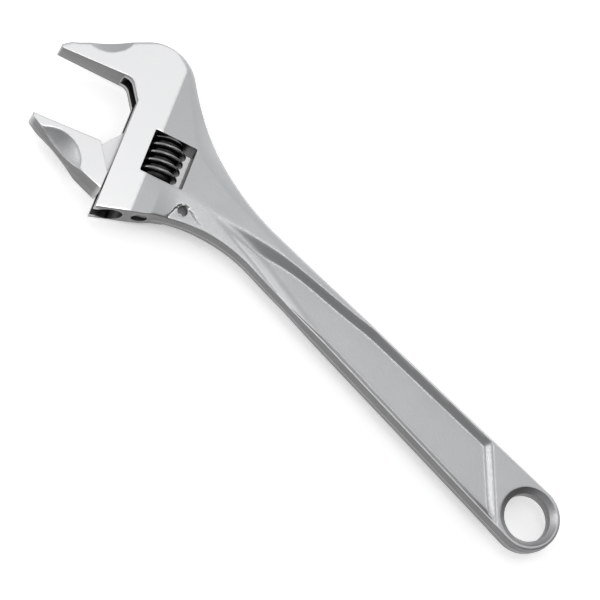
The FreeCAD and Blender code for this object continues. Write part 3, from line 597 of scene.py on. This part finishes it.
def window_loop(radius=0.5):
    """Clockwise rectangle of the window in plan, with small round corners."""
    (u0, v0), (u1, v1) = WINDOW
    corners = [((u0 + radius, v0 + radius), math.pi), ((u1 - radius, v0 + radius), 1.5 * math.pi),
               ((u1 - radius, v1 - radius), 0.0), ((u0 + radius, v1 - radius), 0.5 * math.pi)]
    loop = []
    for index, (centre, first) in enumerate(corners):
        loop.append(bend(centre, radius, first, first + 0.5 * math.pi))
        after = corners[(index + 1) % 4]
        end = np.asarray(centre) + radius * np.array([math.cos(first + 0.5 * math.pi),
                                                      math.sin(first + 0.5 * math.pi)])
        begin = np.asarray(after[0]) + radius * np.array([math.cos(after[1]), math.sin(after[1])])
        loop.append(run(end, begin))
    return from_head(np.concatenate(loop))[::-1]


def hang_wall(height_of):
    """Rows of the hang hole: an eased rim, a cone, an eased corner and the short bore, then the same mirrored."""
    steps = [(11.32, None, 0.0), (11.17, None, 0.06), (11.1, None, 0.16),
             (9.22, 2.42, 0), (9.06, 2.3, 0), (9.0, 2.15, 0)]
    rows = []
    for radius, height, drop in steps:
        loop = ring((0, 0), radius, HANG_POINTS)
        z = height_of(loop) - drop if height is None else np.full(HANG_POINTS, height)
        rows.append(np.column_stack([loop, z]))
    return mirrored(rows)


def window_wall(height_of):
    """Rows of the window's milled wall, with a small break along its edge."""
    loop = window_loop()
    return wall_rows(loop, np.full(len(loop), 0.25), np.zeros(len(loop)), height_of)


def tether_wall(height_of):
    """Rows of the drilled tether hole."""
    loop = ring(TETHER_AT, TETHER_RADIUS, 40)
    return wall_rows(loop, np.full(len(loop), 0.15), np.zeros(len(loop)), height_of)


def beside(curve, shift):
    """A curve over x moved across by shift, resampled for the mesh."""
    x = np.arange(14.0, 176.0, CREASE_STEP)
    return np.stack([x, on(curve, x) + shift], axis=1)


def dish_rim(dish_of, grow, count):
    """Closed circle in plan round a jaw's dish, a little larger or smaller than its rim."""
    (across, along), radius, _ = dish_of
    turn = np.linspace(0, 2 * math.pi, count)
    reach = radius + grow
    return from_head(np.stack([across + reach * np.cos(turn), along + reach * np.sin(turn)], axis=1))


def body_creases():
    """Lines that the triangles must follow, in pairs along the flat's crease, the channel's corners and the dish."""
    along = np.arange(-27, 48, CREASE_STEP)
    lines = [from_head(np.column_stack([np.full(len(along), -STRAP - shift), along])) for shift in (0.0, 0.35)]
    lines += [beside(wall_top, shift) for shift in (-0.22, 0.12)]
    lines += [beside(wall_foot, shift) for shift in (-0.12, 0.25)]
    x = np.arange(10.0, 122.0, CREASE_STEP)
    crest, width = lower_wall(x)
    lines += [np.stack([x, crest + shift], axis=1) for shift in (0.2, -0.12)]
    lines += [np.stack([x, crest - width + shift], axis=1)[x < 112] for shift in (0.12, -0.25)]
    across = np.arange(-14, 14, CREASE_STEP)[:, None] * np.array([-END_WALL[1], END_WALL[0]])
    lines += [(END_WALL_TOP + reach) * END_WALL + across for reach in (-0.15, 0.2, 2.3, 2.65)]
    return lines + [dish_rim(DISH_FIXED, grow, 100) for grow in (-0.12, 0.12)]


def rim_wall(height_of):
    """Rows of the forging's own outer wall."""
    return wall_rows(outline, edge_radius, edge_lean, height_of)


body_mesh = plate("wrench_forging", [rim_wall, window_wall, tether_wall, hang_wall], body_creases(), BODY_SPACING,
                  half_thickness)
print("forging:", len(body_mesh.polygons), "faces")

# %% [markdown]
# The cuts come after the forging, in the order of the real work: the slot, the rack's bore, the room for the worm,
# and the pin's hole with its wider end for the head.

# %% Machine the head
slot_plan = [(RACK_ACROSS, -20.9), (0, -17.0), (7.8, -7.4), (9.8, 0), (9.8, 47.3), (RACK_ACROSS, 47.3)]
web_slot = prism("web_slot", from_head(slot_plan), SLOT_HALF)
rack_bore = turned("rack_bore", RACK_ACROSS, [(-22.9, 2.9), (-20.9, RACK_BORE), (47.3, RACK_BORE)], 96)
worm_room = turned("worm_room", WORM_ACROSS, [(WINDOW[0][1] + 0.01, WORM_ROOM), (WINDOW[1][1] - 0.01, WORM_ROOM)], 96)
pin_hole = turned("pin_hole", WORM_ACROSS, [(2.1, PIN_HOLE), (29.5, PIN_HOLE), (29.5, PIN_HEAD_HOLE),
                                            (48.0, PIN_HEAD_HOLE)], 48)
for tool in (web_slot, rack_bore, worm_room, pin_hole):
    body_mesh = combine(body_mesh, tool, "DIFFERENCE")
print("machined body:", len(body_mesh.polygons), "faces")

# %% [markdown]
# The movable jaw is forged with its web and its round rack in one. Its jaw end is made like the body, as a filled
# plan with profiled walls. The web is a plain milled block, and the rack with its slanted teeth is a copy of the
# CAD's own, because those flanks must mesh with the worm. The three are joined into one skin.

# %% Forge the movable jaw
DISH_MOVING = ((22.4, 35.2), 12.2, 3.9)
JAW_CORNERS = [(6.98, 20.6), (JAW_REACH, 20.6), (JAW_REACH, 22.2), (0.3, 38.4), (0.3, 31.1)]
JAW_FINISH = [(0.22, 0.0), (0.35, 0.0), (0.45, 0.2), (0.3, 0.0), (0.22, 0.0)]
JAW_STEP, JAW_SPACING, BACK_BULGE = 2.2, 0.5, 1.2
WEB_HALF = 3.0


def jaw_outline():
    """Closed anticlockwise outline of the jaw with each point's edge radius and lean."""
    corners = from_head(JAW_CORNERS)
    stretches = [run(corners[i], corners[(i + 1) % len(corners)], JAW_STEP) for i in range(len(corners))]
    along = np.arange(len(stretches[2]))[:, None] / len(stretches[2])
    line = corners[3] - corners[2]
    across = np.array([line[1], -line[0]]) / np.linalg.norm(line)
    stretches[2] = stretches[2] + 4 * BACK_BULGE * along * (1 - along) * across
    points = np.concatenate(stretches)
    finish = np.concatenate([np.tile(edge, (len(stretch), 1)) for stretch, edge in zip(stretches, JAW_FINISH)])
    finish = (np.roll(finish, 1, axis=0) + finish) / 2
    return points, finish[:, 0], finish[:, 1]


def jaw_half_thickness(xy):
    """Flat, then a straight taper to the tip, scooped by the dish."""
    u, v = to_head(xy)
    flat = soft_min(np.full(len(u), FLAT), FLAT - TAPER_SLOPE * (u - TAPER_START), 0.08)
    return soft_min(flat, dish(u, v, *DISH_MOVING, jaw_rim(u)), 0.1)


def jaw_wall(height_of):
    """Rows of the movable jaw's outer wall."""
    return wall_rows(*jaw_outline(), height_of)


def cad_copy(node):
    """Copy of a CAD node's mesh with its loose triangles merged; the node itself is left alone."""
    source = next(item for item in bpy.data.objects if item.name == node)
    return closed(source.data.copy())


jaw_creases = [dish_rim(DISH_MOVING, grow, 110) for grow in (-0.12, 0.12)]
jaw_mesh = plate("jaw_forging", [jaw_wall], jaw_creases, JAW_SPACING, jaw_half_thickness)
web_plan = [(RACK_ACROSS, 7.5), (0, 12.9), (5.9, 20.6), (7.4, 22.1), (1.8, 36.8), (RACK_ACROSS, 36.8)]
web = prism("web", from_head(web_plan), WEB_HALF)
rack_room = prism("rack_room", from_head([(-12.0, 0.0), (-1.4, 0.0), (-1.4, 46.0), (-12.0, 46.0)]), 6.0)
rack = combine(cad_copy("movable_jaw"), rack_room, "INTERSECT")
jaw_mesh = combine(combine(jaw_mesh, web, "UNION"), rack, "UNION")
print("movable jaw:", len(jaw_mesh.polygons), "faces")

# %% [markdown]
# The worm is a short screw with a rounded thread. Its skin is one grid: the angle round the axis, and the distance
# along it. The radius at a place depends on how far that place is from the thread's helix, so the ridge comes out
# of the formula, and the ends are faded to the root so that the thread starts and stops as a turned one does.

# %% Turn the worm
WORM_PITCH, WORM_RADIUS, WORM_ROOT, WORM_BORE = 3.3, 7.88, 5.92, 2.28
WORM_ENDS = (7.76, 24.64)
POCKET, POCKET_DEPTH = 3.95, 0.5
CREST_AT = 16.2
# Radius where the thread's crests start to turn grey, and the width of that change: worn oxide and a painted
# highlight.
CREST_WEAR_SHEEN_FROM, CREST_WEAR_SHEEN_OVER = 6.6, 1.2


def worm_skin(around=144, along=420):
    """Grid over angle and distance: radius falls from crest to root by a rounded step in the helix's distance."""
    turn = np.linspace(0, 2 * math.pi, around, endpoint=False)[None, :]
    v = np.linspace(WORM_ENDS[0], WORM_ENDS[1], along)[:, None]
    phase = (v - CREST_AT - WORM_PITCH * turn / (2 * math.pi)) / WORM_PITCH
    away = np.abs(phase - np.round(phase)) * WORM_PITCH
    flank = soft_step((1.06 - away) / 0.62, 0.3)
    crown = 0.1 * np.clip(away / 0.5, 0, 1) ** 2
    radius = WORM_ROOT + (WORM_RADIUS - crown - WORM_ROOT) * flank
    from_end = np.minimum(v - WORM_ENDS[0], WORM_ENDS[1] - v)
    chamfer = WORM_RADIUS - 1.9 + 1.1 * from_end
    radius = soft_min(radius, chamfer + 0 * turn, 0.15)
    return turn + 0 * v, v + 0 * turn, radius


def worm_mesh():
    """Skin, end faces with a shallow pocket, and bore as one closed shell of rings, with a mask along the crests."""
    turn, v, radius = worm_skin()
    first, last = WORM_ENDS
    flat = np.ones(turn.shape[1])
    lead = [(first + POCKET_DEPTH, WORM_BORE), (first + POCKET_DEPTH, POCKET), (first, POCKET + 0.2)]
    tail = [(last, POCKET + 0.2), (last - POCKET_DEPTH, POCKET), (last - POCKET_DEPTH, WORM_BORE)]
    v = np.vstack([[at * flat for at, _ in lead], v, [at * flat for at, _ in tail]])
    radius = np.vstack([[r * flat for _, r in lead], radius, [r * flat for _, r in tail]])
    turn = np.vstack([np.tile(turn[0], (3, 1)), turn, np.tile(turn[0], (3, 1))])
    plan = from_head(np.column_stack([(WORM_ACROSS + radius * np.cos(turn)).ravel(), v.ravel()]))
    points = np.column_stack([plan, (-radius * np.sin(turn)).ravel()])
    ids = np.arange(points.shape[0]).reshape(turn.shape)
    after, below = np.roll(ids, -1, axis=1), np.roll(ids, -1, axis=0)
    quads = np.stack([ids, after, np.roll(after, -1, axis=0), below], axis=-1).reshape(-1, 4)
    mesh = closed(new_mesh("worm_skin", points, quads.tolist()))
    crest = mesh.attributes.new("crest", "FLOAT", "POINT")
    place = np.empty(len(mesh.vertices) * 3, np.float32)
    mesh.vertices.foreach_get("co", place)
    place = place.reshape(-1, 3) / MM
    radius = np.hypot(to_head(place[:, :2])[0] - WORM_ACROSS, place[:, 2])
    crest.data.foreach_set("value", np.clip((radius - CREST_WEAR_SHEEN_FROM) / CREST_WEAR_SHEEN_OVER, 0, 1).astype(np.float32))
    return mesh


worm_skin_mesh = worm_mesh()
print("worm:", len(worm_skin_mesh.polygons), "faces")

# %% [markdown]
# Plating follows the surface under it, so the finish changes with the surface. Four masks say where: "polish" is 1
# on faces that were ground flat and buffed, "side" is 1 on upright walls, where it paints shade, the bore mask is 1
# inside bores, where it paints shade, and "edge" is 1 along crisp corners, where it stands for edge wear and a
# painted highlight. They are worked out from each face corner's place and direction.

# %% Masks for the finishes
SHARP, WORM_SHARP = math.radians(32), math.radians(50)
MARGIN = 0.1


def corner_masks(mesh, polished, sunk):
    """Write the masks: polish and the bore shade by place, side by tilt, edge by how far normals fan out at a vertex.
    """
    mesh.set_sharp_from_angle(angle=SHARP)
    count = len(mesh.loops)
    vertex = np.empty(count, int)
    mesh.loops.foreach_get("vertex_index", vertex)
    normal = np.empty(count * 3, np.float32)
    mesh.corner_normals.foreach_get("vector", normal)
    normal = normal.reshape(-1, 3).astype(float)
    points = np.empty(len(mesh.vertices) * 3, np.float32)
    mesh.vertices.foreach_get("co", points)
    points = points.reshape(-1, 3)[vertex] / MM
    total = np.zeros((len(mesh.vertices), 3))
    np.add.at(total, vertex, normal)
    number = np.bincount(vertex, minlength=len(mesh.vertices))[:, None]
    fan = 1.0 - np.linalg.norm(total / np.maximum(number, 1), axis=1)
    masks = {"bore_shade": sunk(points, normal),
             "polish": polished(points) * np.clip((np.abs(normal[:, 2]) - 0.985) / 0.01, 0, 1),
             "side": np.clip((0.9 - np.abs(normal[:, 2])) / 0.45, 0, 1),
             "edge": np.clip(fan[vertex] * 8, 0, 1)}
    for name, values in masks.items():
        layer = mesh.attributes.new(name, "FLOAT", "CORNER")
        layer.data.foreach_set("value", values.astype(np.float32))
    print(mesh.name, {name: round(float(values.mean()), 3) for name, values in masks.items()})


def beyond(u, v, dish_of):
    """True outside a jaw's dish in plan."""
    at, radius, _ = dish_of
    return (u - at[0]) ** 2 + (v - at[1]) ** 2 > (radius + MARGIN) ** 2


def body_polish(points):
    """1 on the ground flat of the head and jaw, ahead of the crease and outside the dish and the band."""
    u, v = to_head(points[:, :2])
    ahead = np.clip((u + STRAP + 0.1) / 0.2, 0, 1)
    near = distance_to(back_edge, points[:, :2], closed=False)
    out_of_band = np.clip((near - on(band_width, points[:, 0]) + 0.3) / 0.6, 0, 1)
    top = np.abs(points[:, 2]) > 3.2
    return ahead * beyond(u, v, DISH_FIXED) * out_of_band * top


def body_bore_shade(points, normal):
    """1 inside the rack's bore, the pin's hole and the web's slot, where shade is painted almost black."""
    u, v = to_head(points[:, :2])
    z = points[:, 2]
    in_bore = (u - RACK_ACROSS) ** 2 + z ** 2 < (RACK_BORE + MARGIN) ** 2
    in_hole = ((u - WORM_ACROSS) ** 2 + z ** 2 < (PIN_HEAD_HOLE + MARGIN) ** 2) & (v > 25.0)
    in_slot = (u > RACK_ACROSS - MARGIN) & (v > -21.0) & (np.abs(z) < SLOT_HALF + 0.02) & (np.abs(normal[:, 2]) > 0.9)
    return ((in_bore & (v > -23.0)) | in_hole | in_slot) * 1.0


def nowhere(points, normal=None):
    """0 all over."""
    return np.zeros(len(points))


def jaw_polish(points):
    """1 on the jaw's ground flats, outside its dish."""
    u, v = to_head(points[:, :2])
    return beyond(u, v, DISH_MOVING) * (np.abs(points[:, 2]) > 3.5) * (u > 0)


def finish_piece(name, mesh, body, node):
    """Object for a finished mesh: it rides on its body and stands for its node, which it hides."""
    piece = bpy.data.objects.new(name, mesh)
    bpy.context.scene.collection.objects.link(piece)
    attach(piece, body)
    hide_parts(node)
    return piece


corner_masks(body_mesh, body_polish, body_bore_shade)
corner_masks(jaw_mesh, jaw_polish, nowhere)
body = finish_piece("forged_body", body_mesh, "wrench", "wrench_body")
jaw = finish_piece("sliding_jaw", jaw_mesh, "jaw", "movable_jaw")
worm_skin_mesh.set_sharp_from_angle(angle=WORM_SHARP)
worm = finish_piece("thumb_worm", worm_skin_mesh, "worm", "worm")

# %% [markdown]
# Small marks repeat over every steel surface, so they are built once as node groups. "tumbled_skin" gives the fine
# pits of a shot-blasted forging under thin chrome: a bump, and a little change of roughness and tone. "grind_lines"
# gives the long faint scratches that a belt leaves. Each material mixes them by its own masks.

# %% Shared shader groups
def group(name, inputs, outputs):
    """Empty shader group with float inputs (name: default) and the outputs listed (name: type)."""
    tree = bpy.data.node_groups.new(name, "ShaderNodeTree")
    for label, value in inputs.items():
        tree.interface.new_socket(label, in_out="INPUT", socket_type="NodeSocketFloat").default_value = value
    for label, kind in outputs.items():
        tree.interface.new_socket(label, in_out="OUTPUT", socket_type=kind)
    return tree, tree.nodes.new("NodeGroupInput"), tree.nodes.new("NodeGroupOutput")


def add(tree, kind, **values):
    """New node with its settings, and socket values given by position as in_0, in_1 and so on."""
    node = tree.nodes.new(kind)
    for key, value in values.items():
        if key.startswith("in_"):
            node.inputs[int(key[3:])].default_value = value
        else:
            setattr(node, key, value)
    return node


def noise(tree, place, scale, detail):
    """Noise texture on a place, with its scale in features per metre."""
    node = add(tree, "ShaderNodeTexNoise")
    node.inputs["Scale"].default_value = scale
    node.inputs["Detail"].default_value = detail
    node.inputs["Roughness"].default_value = 0.55
    tree.links.new(place, node.inputs["Vector"])
    return node.outputs["Fac"]


def math_of(tree, operation, a, b):
    """Math node of a socket, and a second socket or a number."""
    node = add(tree, "ShaderNodeMath", operation=operation)
    tree.links.new(a, node.inputs[0])
    if isinstance(b, float):
        node.inputs[1].default_value = b
    else:
        tree.links.new(b, node.inputs[1])
    return node.outputs[0]


def tumbled_skin():
    """Group: fine pits as a normal, and a roughness and tone that drift over centimetres."""
    tree, given, out = group("tumbled_skin", {"Pit size": 1400.0, "Depth": 0.3},
                             {"Normal": "NodeSocketVector", "Mottle": "NodeSocketFloat", "Speck": "NodeSocketFloat"})
    place = add(tree, "ShaderNodeTexCoord").outputs["Object"]
    fine = add(tree, "ShaderNodeTexNoise")
    fine.inputs["Detail"].default_value = 4.0
    tree.links.new(place, fine.inputs["Vector"])
    tree.links.new(given.outputs["Pit size"], fine.inputs["Scale"])
    bump = add(tree, "ShaderNodeBump")
    bump.inputs["Distance"].default_value = 0.0002
    tree.links.new(fine.outputs["Fac"], bump.inputs["Height"])
    tree.links.new(given.outputs["Depth"], bump.inputs["Strength"])
    tree.links.new(bump.outputs["Normal"], out.inputs["Normal"])
    tree.links.new(noise(tree, place, 90.0, 4.0), out.inputs["Mottle"])
    tree.links.new(noise(tree, place, 900.0, 2.0), out.inputs["Speck"])
    return tree


def grind_lines():
    """Group: noise stretched along the slide's direction, as a bump and a streak value."""
    tree, given, out = group("grind_lines", {"Depth": 0.05},
                             {"Normal": "NodeSocketVector", "Streak": "NodeSocketFloat"})
    place = add(tree, "ShaderNodeTexCoord").outputs["Object"]
    turn = add(tree, "ShaderNodeMapping")
    turn.inputs["Rotation"].default_value = (0.0, 0.0, -JAW_ANGLE)
    turn.inputs["Scale"].default_value = (2600.0, 60.0, 400.0)
    tree.links.new(place, turn.inputs["Vector"])
    lines = noise(tree, turn.outputs["Vector"], 1.0, 2.0)
    bump = add(tree, "ShaderNodeBump")
    bump.inputs["Distance"].default_value = 0.0001
    tree.links.new(lines, bump.inputs["Height"])
    tree.links.new(given.outputs["Depth"], bump.inputs["Strength"])
    tree.links.new(bump.outputs["Normal"], out.inputs["Normal"])
    tree.links.new(lines, out.inputs["Streak"])
    return tree


skin_group, grind_group = tumbled_skin(), grind_lines()
print("shader groups:", skin_group.name, grind_group.name)

# %% [markdown]
# The chrome is one material with two faces: satin where the forging was only tumbled, and bright where it was
# ground. The masks choose between them; walls get a darker tone as painted shade, bores get painted shade almost
# black, and crisp corners are a tone brighter, for edge wear and a painted highlight. The black worm and the bare
# steel pin and spring use the same groups.

# %% Materials
SATIN_ROUGH, BRIGHT_ROUGH = 0.36, 0.2


def use(tree, shared, **values):
    """Place a shared group in a material with its own values."""
    node = add(tree, "ShaderNodeGroup", node_tree=shared)
    for label, value in values.items():
        node.inputs[label.replace("_", " ")].default_value = value
    return node


def mask(tree, name):
    """One of the mesh's masks."""
    return add(tree, "ShaderNodeAttribute", attribute_name=name).outputs["Fac"]


def blend(tree, share, a, b):
    """Colour mix: a where share is 0, b where it is 1; each a colour or a socket."""
    node = add(tree, "ShaderNodeMix", data_type="RGBA")
    for slot, value in ((node.inputs[0], share), (node.inputs[6], a), (node.inputs[7], b)):
        if isinstance(value, (int, float, tuple)):
            slot.default_value = value
        else:
            tree.links.new(value, slot)
    return node.outputs[2]


def grey(level, warm=0.0):
    """Colour of a neutral grey, a touch warm or cool."""
    return (level + warm, level, level - warm, 1.0)


def chrome(name, satin, bright, wall):
    """Plated steel: satin and bright tones by the polish mask, painted shade on walls and bores, wear and painted
    highlight on corners.
    """
    made = bpy.data.materials.new(name)
    made.use_nodes = True
    tree = made.node_tree
    shader = tree.nodes["Principled BSDF"]
    shader.inputs["Metallic"].default_value = 1.0
    skin = use(tree, skin_group, Pit_size=1500.0, Depth=0.22)
    lines = use(tree, grind_group, Depth=0.06)
    polish, side, edge = mask(tree, "polish"), mask(tree, "side"), mask(tree, "edge")
    mottled = blend(tree, skin.outputs["Mottle"], grey(satin * 0.94, -0.003), grey(satin * 1.05, -0.004))
    buffed = blend(tree, lines.outputs["Streak"], grey(bright * 0.985), grey(bright))
    colour = blend(tree, polish, mottled, buffed)
    # Painted shade: the side mask turns upright walls to the darker wall tone.
    shade = blend(tree, skin.outputs["Mottle"], grey(wall * 0.8), grey(wall * 1.15))
    colour = blend(tree, side, colour, shade)
    # Edge wear and painted highlight: the edge mask lifts crisp corners towards a light grey.
    colour = blend(tree, math_of(tree, "MULTIPLY", edge, 0.5), colour, grey(0.86))
    # Painted shade: the bore mask turns the insides of bores and the slot almost black.
    colour = blend(tree, math_of(tree, "MULTIPLY", mask(tree, "bore_shade"), 0.85), colour, grey(0.03))
    tree.links.new(colour, shader.inputs["Base Color"])
    speck = math_of(tree, "MULTIPLY", skin.outputs["Speck"], 0.12)
    rough = math_of(tree, "ADD", speck, SATIN_ROUGH)
    level = add(tree, "ShaderNodeMix", data_type="FLOAT")
    tree.links.new(polish, level.inputs[0])
    tree.links.new(rough, level.inputs[2])
    level.inputs[3].default_value = BRIGHT_ROUGH
    tree.links.new(level.outputs[0], shader.inputs["Roughness"])
    facing = add(tree, "ShaderNodeMix", data_type="VECTOR")
    tree.links.new(polish, facing.inputs[0])
    tree.links.new(skin.outputs["Normal"], facing.inputs[4])
    tree.links.new(lines.outputs["Normal"], facing.inputs[5])
    tree.links.new(facing.outputs[1], shader.inputs["Normal"])
    return made


def plain_steel(name, dark, light, roughness):
    """Steel without plating: mottled tone, speckled roughness and fine pits."""
    made = bpy.data.materials.new(name)
    made.use_nodes = True
    tree = made.node_tree
    shader = tree.nodes["Principled BSDF"]
    shader.inputs["Metallic"].default_value = 1.0
    skin = use(tree, skin_group, Pit_size=2200.0, Depth=0.15)
    tree.links.new(blend(tree, skin.outputs["Mottle"], grey(dark), grey(light)), shader.inputs["Base Color"])
    speck = math_of(tree, "MULTIPLY", skin.outputs["Speck"], 0.16)
    tree.links.new(math_of(tree, "ADD", speck, roughness), shader.inputs["Roughness"])
    tree.links.new(skin.outputs["Normal"], shader.inputs["Normal"])
    return made


def black_oxide(name):
    """Blackened steel, grey along the crests of the thread: worn oxide and a painted highlight."""
    made = plain_steel(name, 0.02, 0.05, 0.2)
    tree = made.node_tree
    shader = tree.nodes["Principled BSDF"]
    black = shader.inputs["Base Color"].links[0].from_socket
    # Worn oxide and painted highlight: the crest mask lifts the thread's crests to grey.
    worn_and_sheen = blend(tree, math_of(tree, "MULTIPLY", mask(tree, "crest"), 0.85), black, grey(0.3))
    tree.links.new(worn_and_sheen, shader.inputs["Base Color"])
    return made


def dress(piece, material):
    """Put one material in all of a piece's slots."""
    if not piece.data.materials:
        piece.data.materials.append(material)
    for slot in piece.material_slots:
        slot.link = "OBJECT"
        slot.material = material


# The last tone of each chrome is the painted shade on its walls.
dress(body, chrome("body_chrome_plate", 0.43, 0.88, 0.21))
dress(jaw, chrome("jaw_chrome_plate", 0.45, 0.84, 0.21))
dress(worm, black_oxide("worm_black_oxide"))
for node, material in (("worm_pin", plain_steel("pin_turned_steel", 0.42, 0.5, 0.3)),
                       ("worm_spring", plain_steel("spring_drawn_steel", 0.4, 0.5, 0.28))):
    dress(next(item for item in bpy.data.objects if item.name == node), material)
print("materials:", sorted(item.name for item in bpy.data.materials))

# %% [markdown]
# Bright metal shows the room more than itself, so the light is planned for what each face mirrors. The room is pale
# all round, with a dark card where the flat faces would mirror the camera, and it is dimmer low down on the near side
# and at the ring's end. Three soft lights then lift the back edge, the flat faces and the jaws' end.

# %% Floor, room and lights
CENTRE = (0.115, 0.0, 0.0)
CARD_AT, CARD_START, CARD_FULL, CARD_LEVEL = (0.0, 0.45, 0.89), 0.91, 0.98, 0.12
FLOOR_REACH, FLOOR_GAP = 1.2, 0.0002


def floor(level):
    """Plain pale floor just under the lowest point, as a square of four points."""
    mesh = bpy.data.meshes.new("floor")
    corners = [(x * FLOOR_REACH, y * FLOOR_REACH, level) for x, y in ((-1, -1), (1, -1), (1, 1), (-1, 1))]
    mesh.from_pydata(corners, [], [(0, 1, 2, 3)])
    piece = bpy.data.objects.new("floor", mesh)
    bpy.context.scene.collection.objects.link(piece)
    made = bpy.data.materials.new("floor_paper")
    made.use_nodes = True
    shader = made.node_tree.nodes["Principled BSDF"]
    shader.inputs["Base Color"].default_value = (0.98, 0.98, 0.98, 1)
    shader.inputs["Roughness"].default_value = 0.9
    shader.inputs["Emission Color"].default_value = (1.0, 1.0, 1.0, 1)
    shader.inputs["Emission Strength"].default_value = 0.3
    mesh.materials.append(made)


def soft_light(name, place, size, power):
    """Square area light that faces the middle of the tool; size in metres, power in watts."""
    lamp = bpy.data.lights.new(name, "AREA")
    lamp.shape, lamp.size, lamp.energy = "SQUARE", size, power
    holder = bpy.data.objects.new(name, lamp)
    holder.location = place
    holder.rotation_mode = "QUATERNION"
    holder.rotation_quaternion = (Vector(CENTRE) - Vector(place)).to_track_quat("-Z", "Y")
    bpy.context.scene.collection.objects.link(holder)


def fade(tree, value, start, end, low):
    """1 up to start, then smoothly down to low at end."""
    node = add(tree, "ShaderNodeMapRange", interpolation_type="SMOOTHSTEP", in_1=start, in_2=end, in_3=1.0)
    node.inputs[4].default_value = low
    tree.links.new(value, node.inputs[0])
    return node.outputs[0]


def room(even):
    """World: even overhead and behind, dimmer low on the near side and at the ring's end, with a dark card."""
    world = bpy.data.worlds.new("studio")
    bpy.context.scene.world = world
    world.use_nodes = True
    tree = world.node_tree
    direction = add(tree, "ShaderNodeTexCoord").outputs["Generated"]
    toward = add(tree, "ShaderNodeSeparateXYZ")
    tree.links.new(direction, toward.inputs[0])
    near = fade(tree, toward.outputs["Y"], 0.28, 0.72, 0.65)
    end = fade(tree, math_of(tree, "MULTIPLY", toward.outputs["X"], -1.0), 0.3, 0.8, 0.15)
    card = add(tree, "ShaderNodeVectorMath", operation="DOT_PRODUCT", in_1=CARD_AT)
    tree.links.new(direction, card.inputs[0])
    dark = fade(tree, card.outputs["Value"], CARD_START, CARD_FULL, CARD_LEVEL)
    level = math_of(tree, "MULTIPLY", math_of(tree, "MULTIPLY", near, end), dark)
    tree.links.new(blend(tree, level, grey(0.0), grey(even, -0.006)), tree.nodes["Background"].inputs["Color"])


floor(cad_box[0][2] - FLOOR_GAP)
room(0.9)
soft_light("back_light", (0.10, -1.0, 0.34), 0.6, 1.7)
soft_light("top_light", (0.12, -0.06, 1.35), 0.55, 2.6)
soft_light("end_light", (1.0, 0.6, 0.30), 0.42, 4.2)
bpy.context.scene.view_settings.view_transform = "Standard"
print("lights:", [item.name for item in bpy.data.lights])

# %% [markdown]
# The camera looks down on the tool from 24 degrees off the vertical with a long lens, from far enough away that the
# handle and the head keep their proportions.

# %% Camera
TILT, SWING, ROLL = math.radians(24.26), math.radians(1.7), math.radians(225.09)
AWAY, LOOK_AT, LENS = 991.7, np.array([115.31, 1.92, 0.0]), 162.24
back = np.array([math.sin(TILT) * math.sin(SWING), math.sin(TILT) * math.cos(SWING), math.cos(TILT)])
along_x = np.array([1.0, 0.0, 0.0]) - back[0] * back
along_x /= np.linalg.norm(along_x)
along_y = np.cross(back, along_x)
right = along_x * math.cos(ROLL) + along_y * math.sin(ROLL)
up = -along_x * math.sin(ROLL) + along_y * math.cos(ROLL)
place = (LOOK_AT + AWAY * back) * MM
lens = bpy.data.cameras.new("camera")
lens.lens, lens.sensor_width, lens.clip_start = LENS, 36.0, 0.05
camera = bpy.data.objects.new("camera", lens)
camera.matrix_world = Matrix([[right[i], up[i], back[i], place[i]] for i in range(3)] + [[0, 0, 0, 1]])
bpy.context.scene.collection.objects.link(camera)
bpy.context.scene.camera = camera
print("camera at", np.round(place, 3))
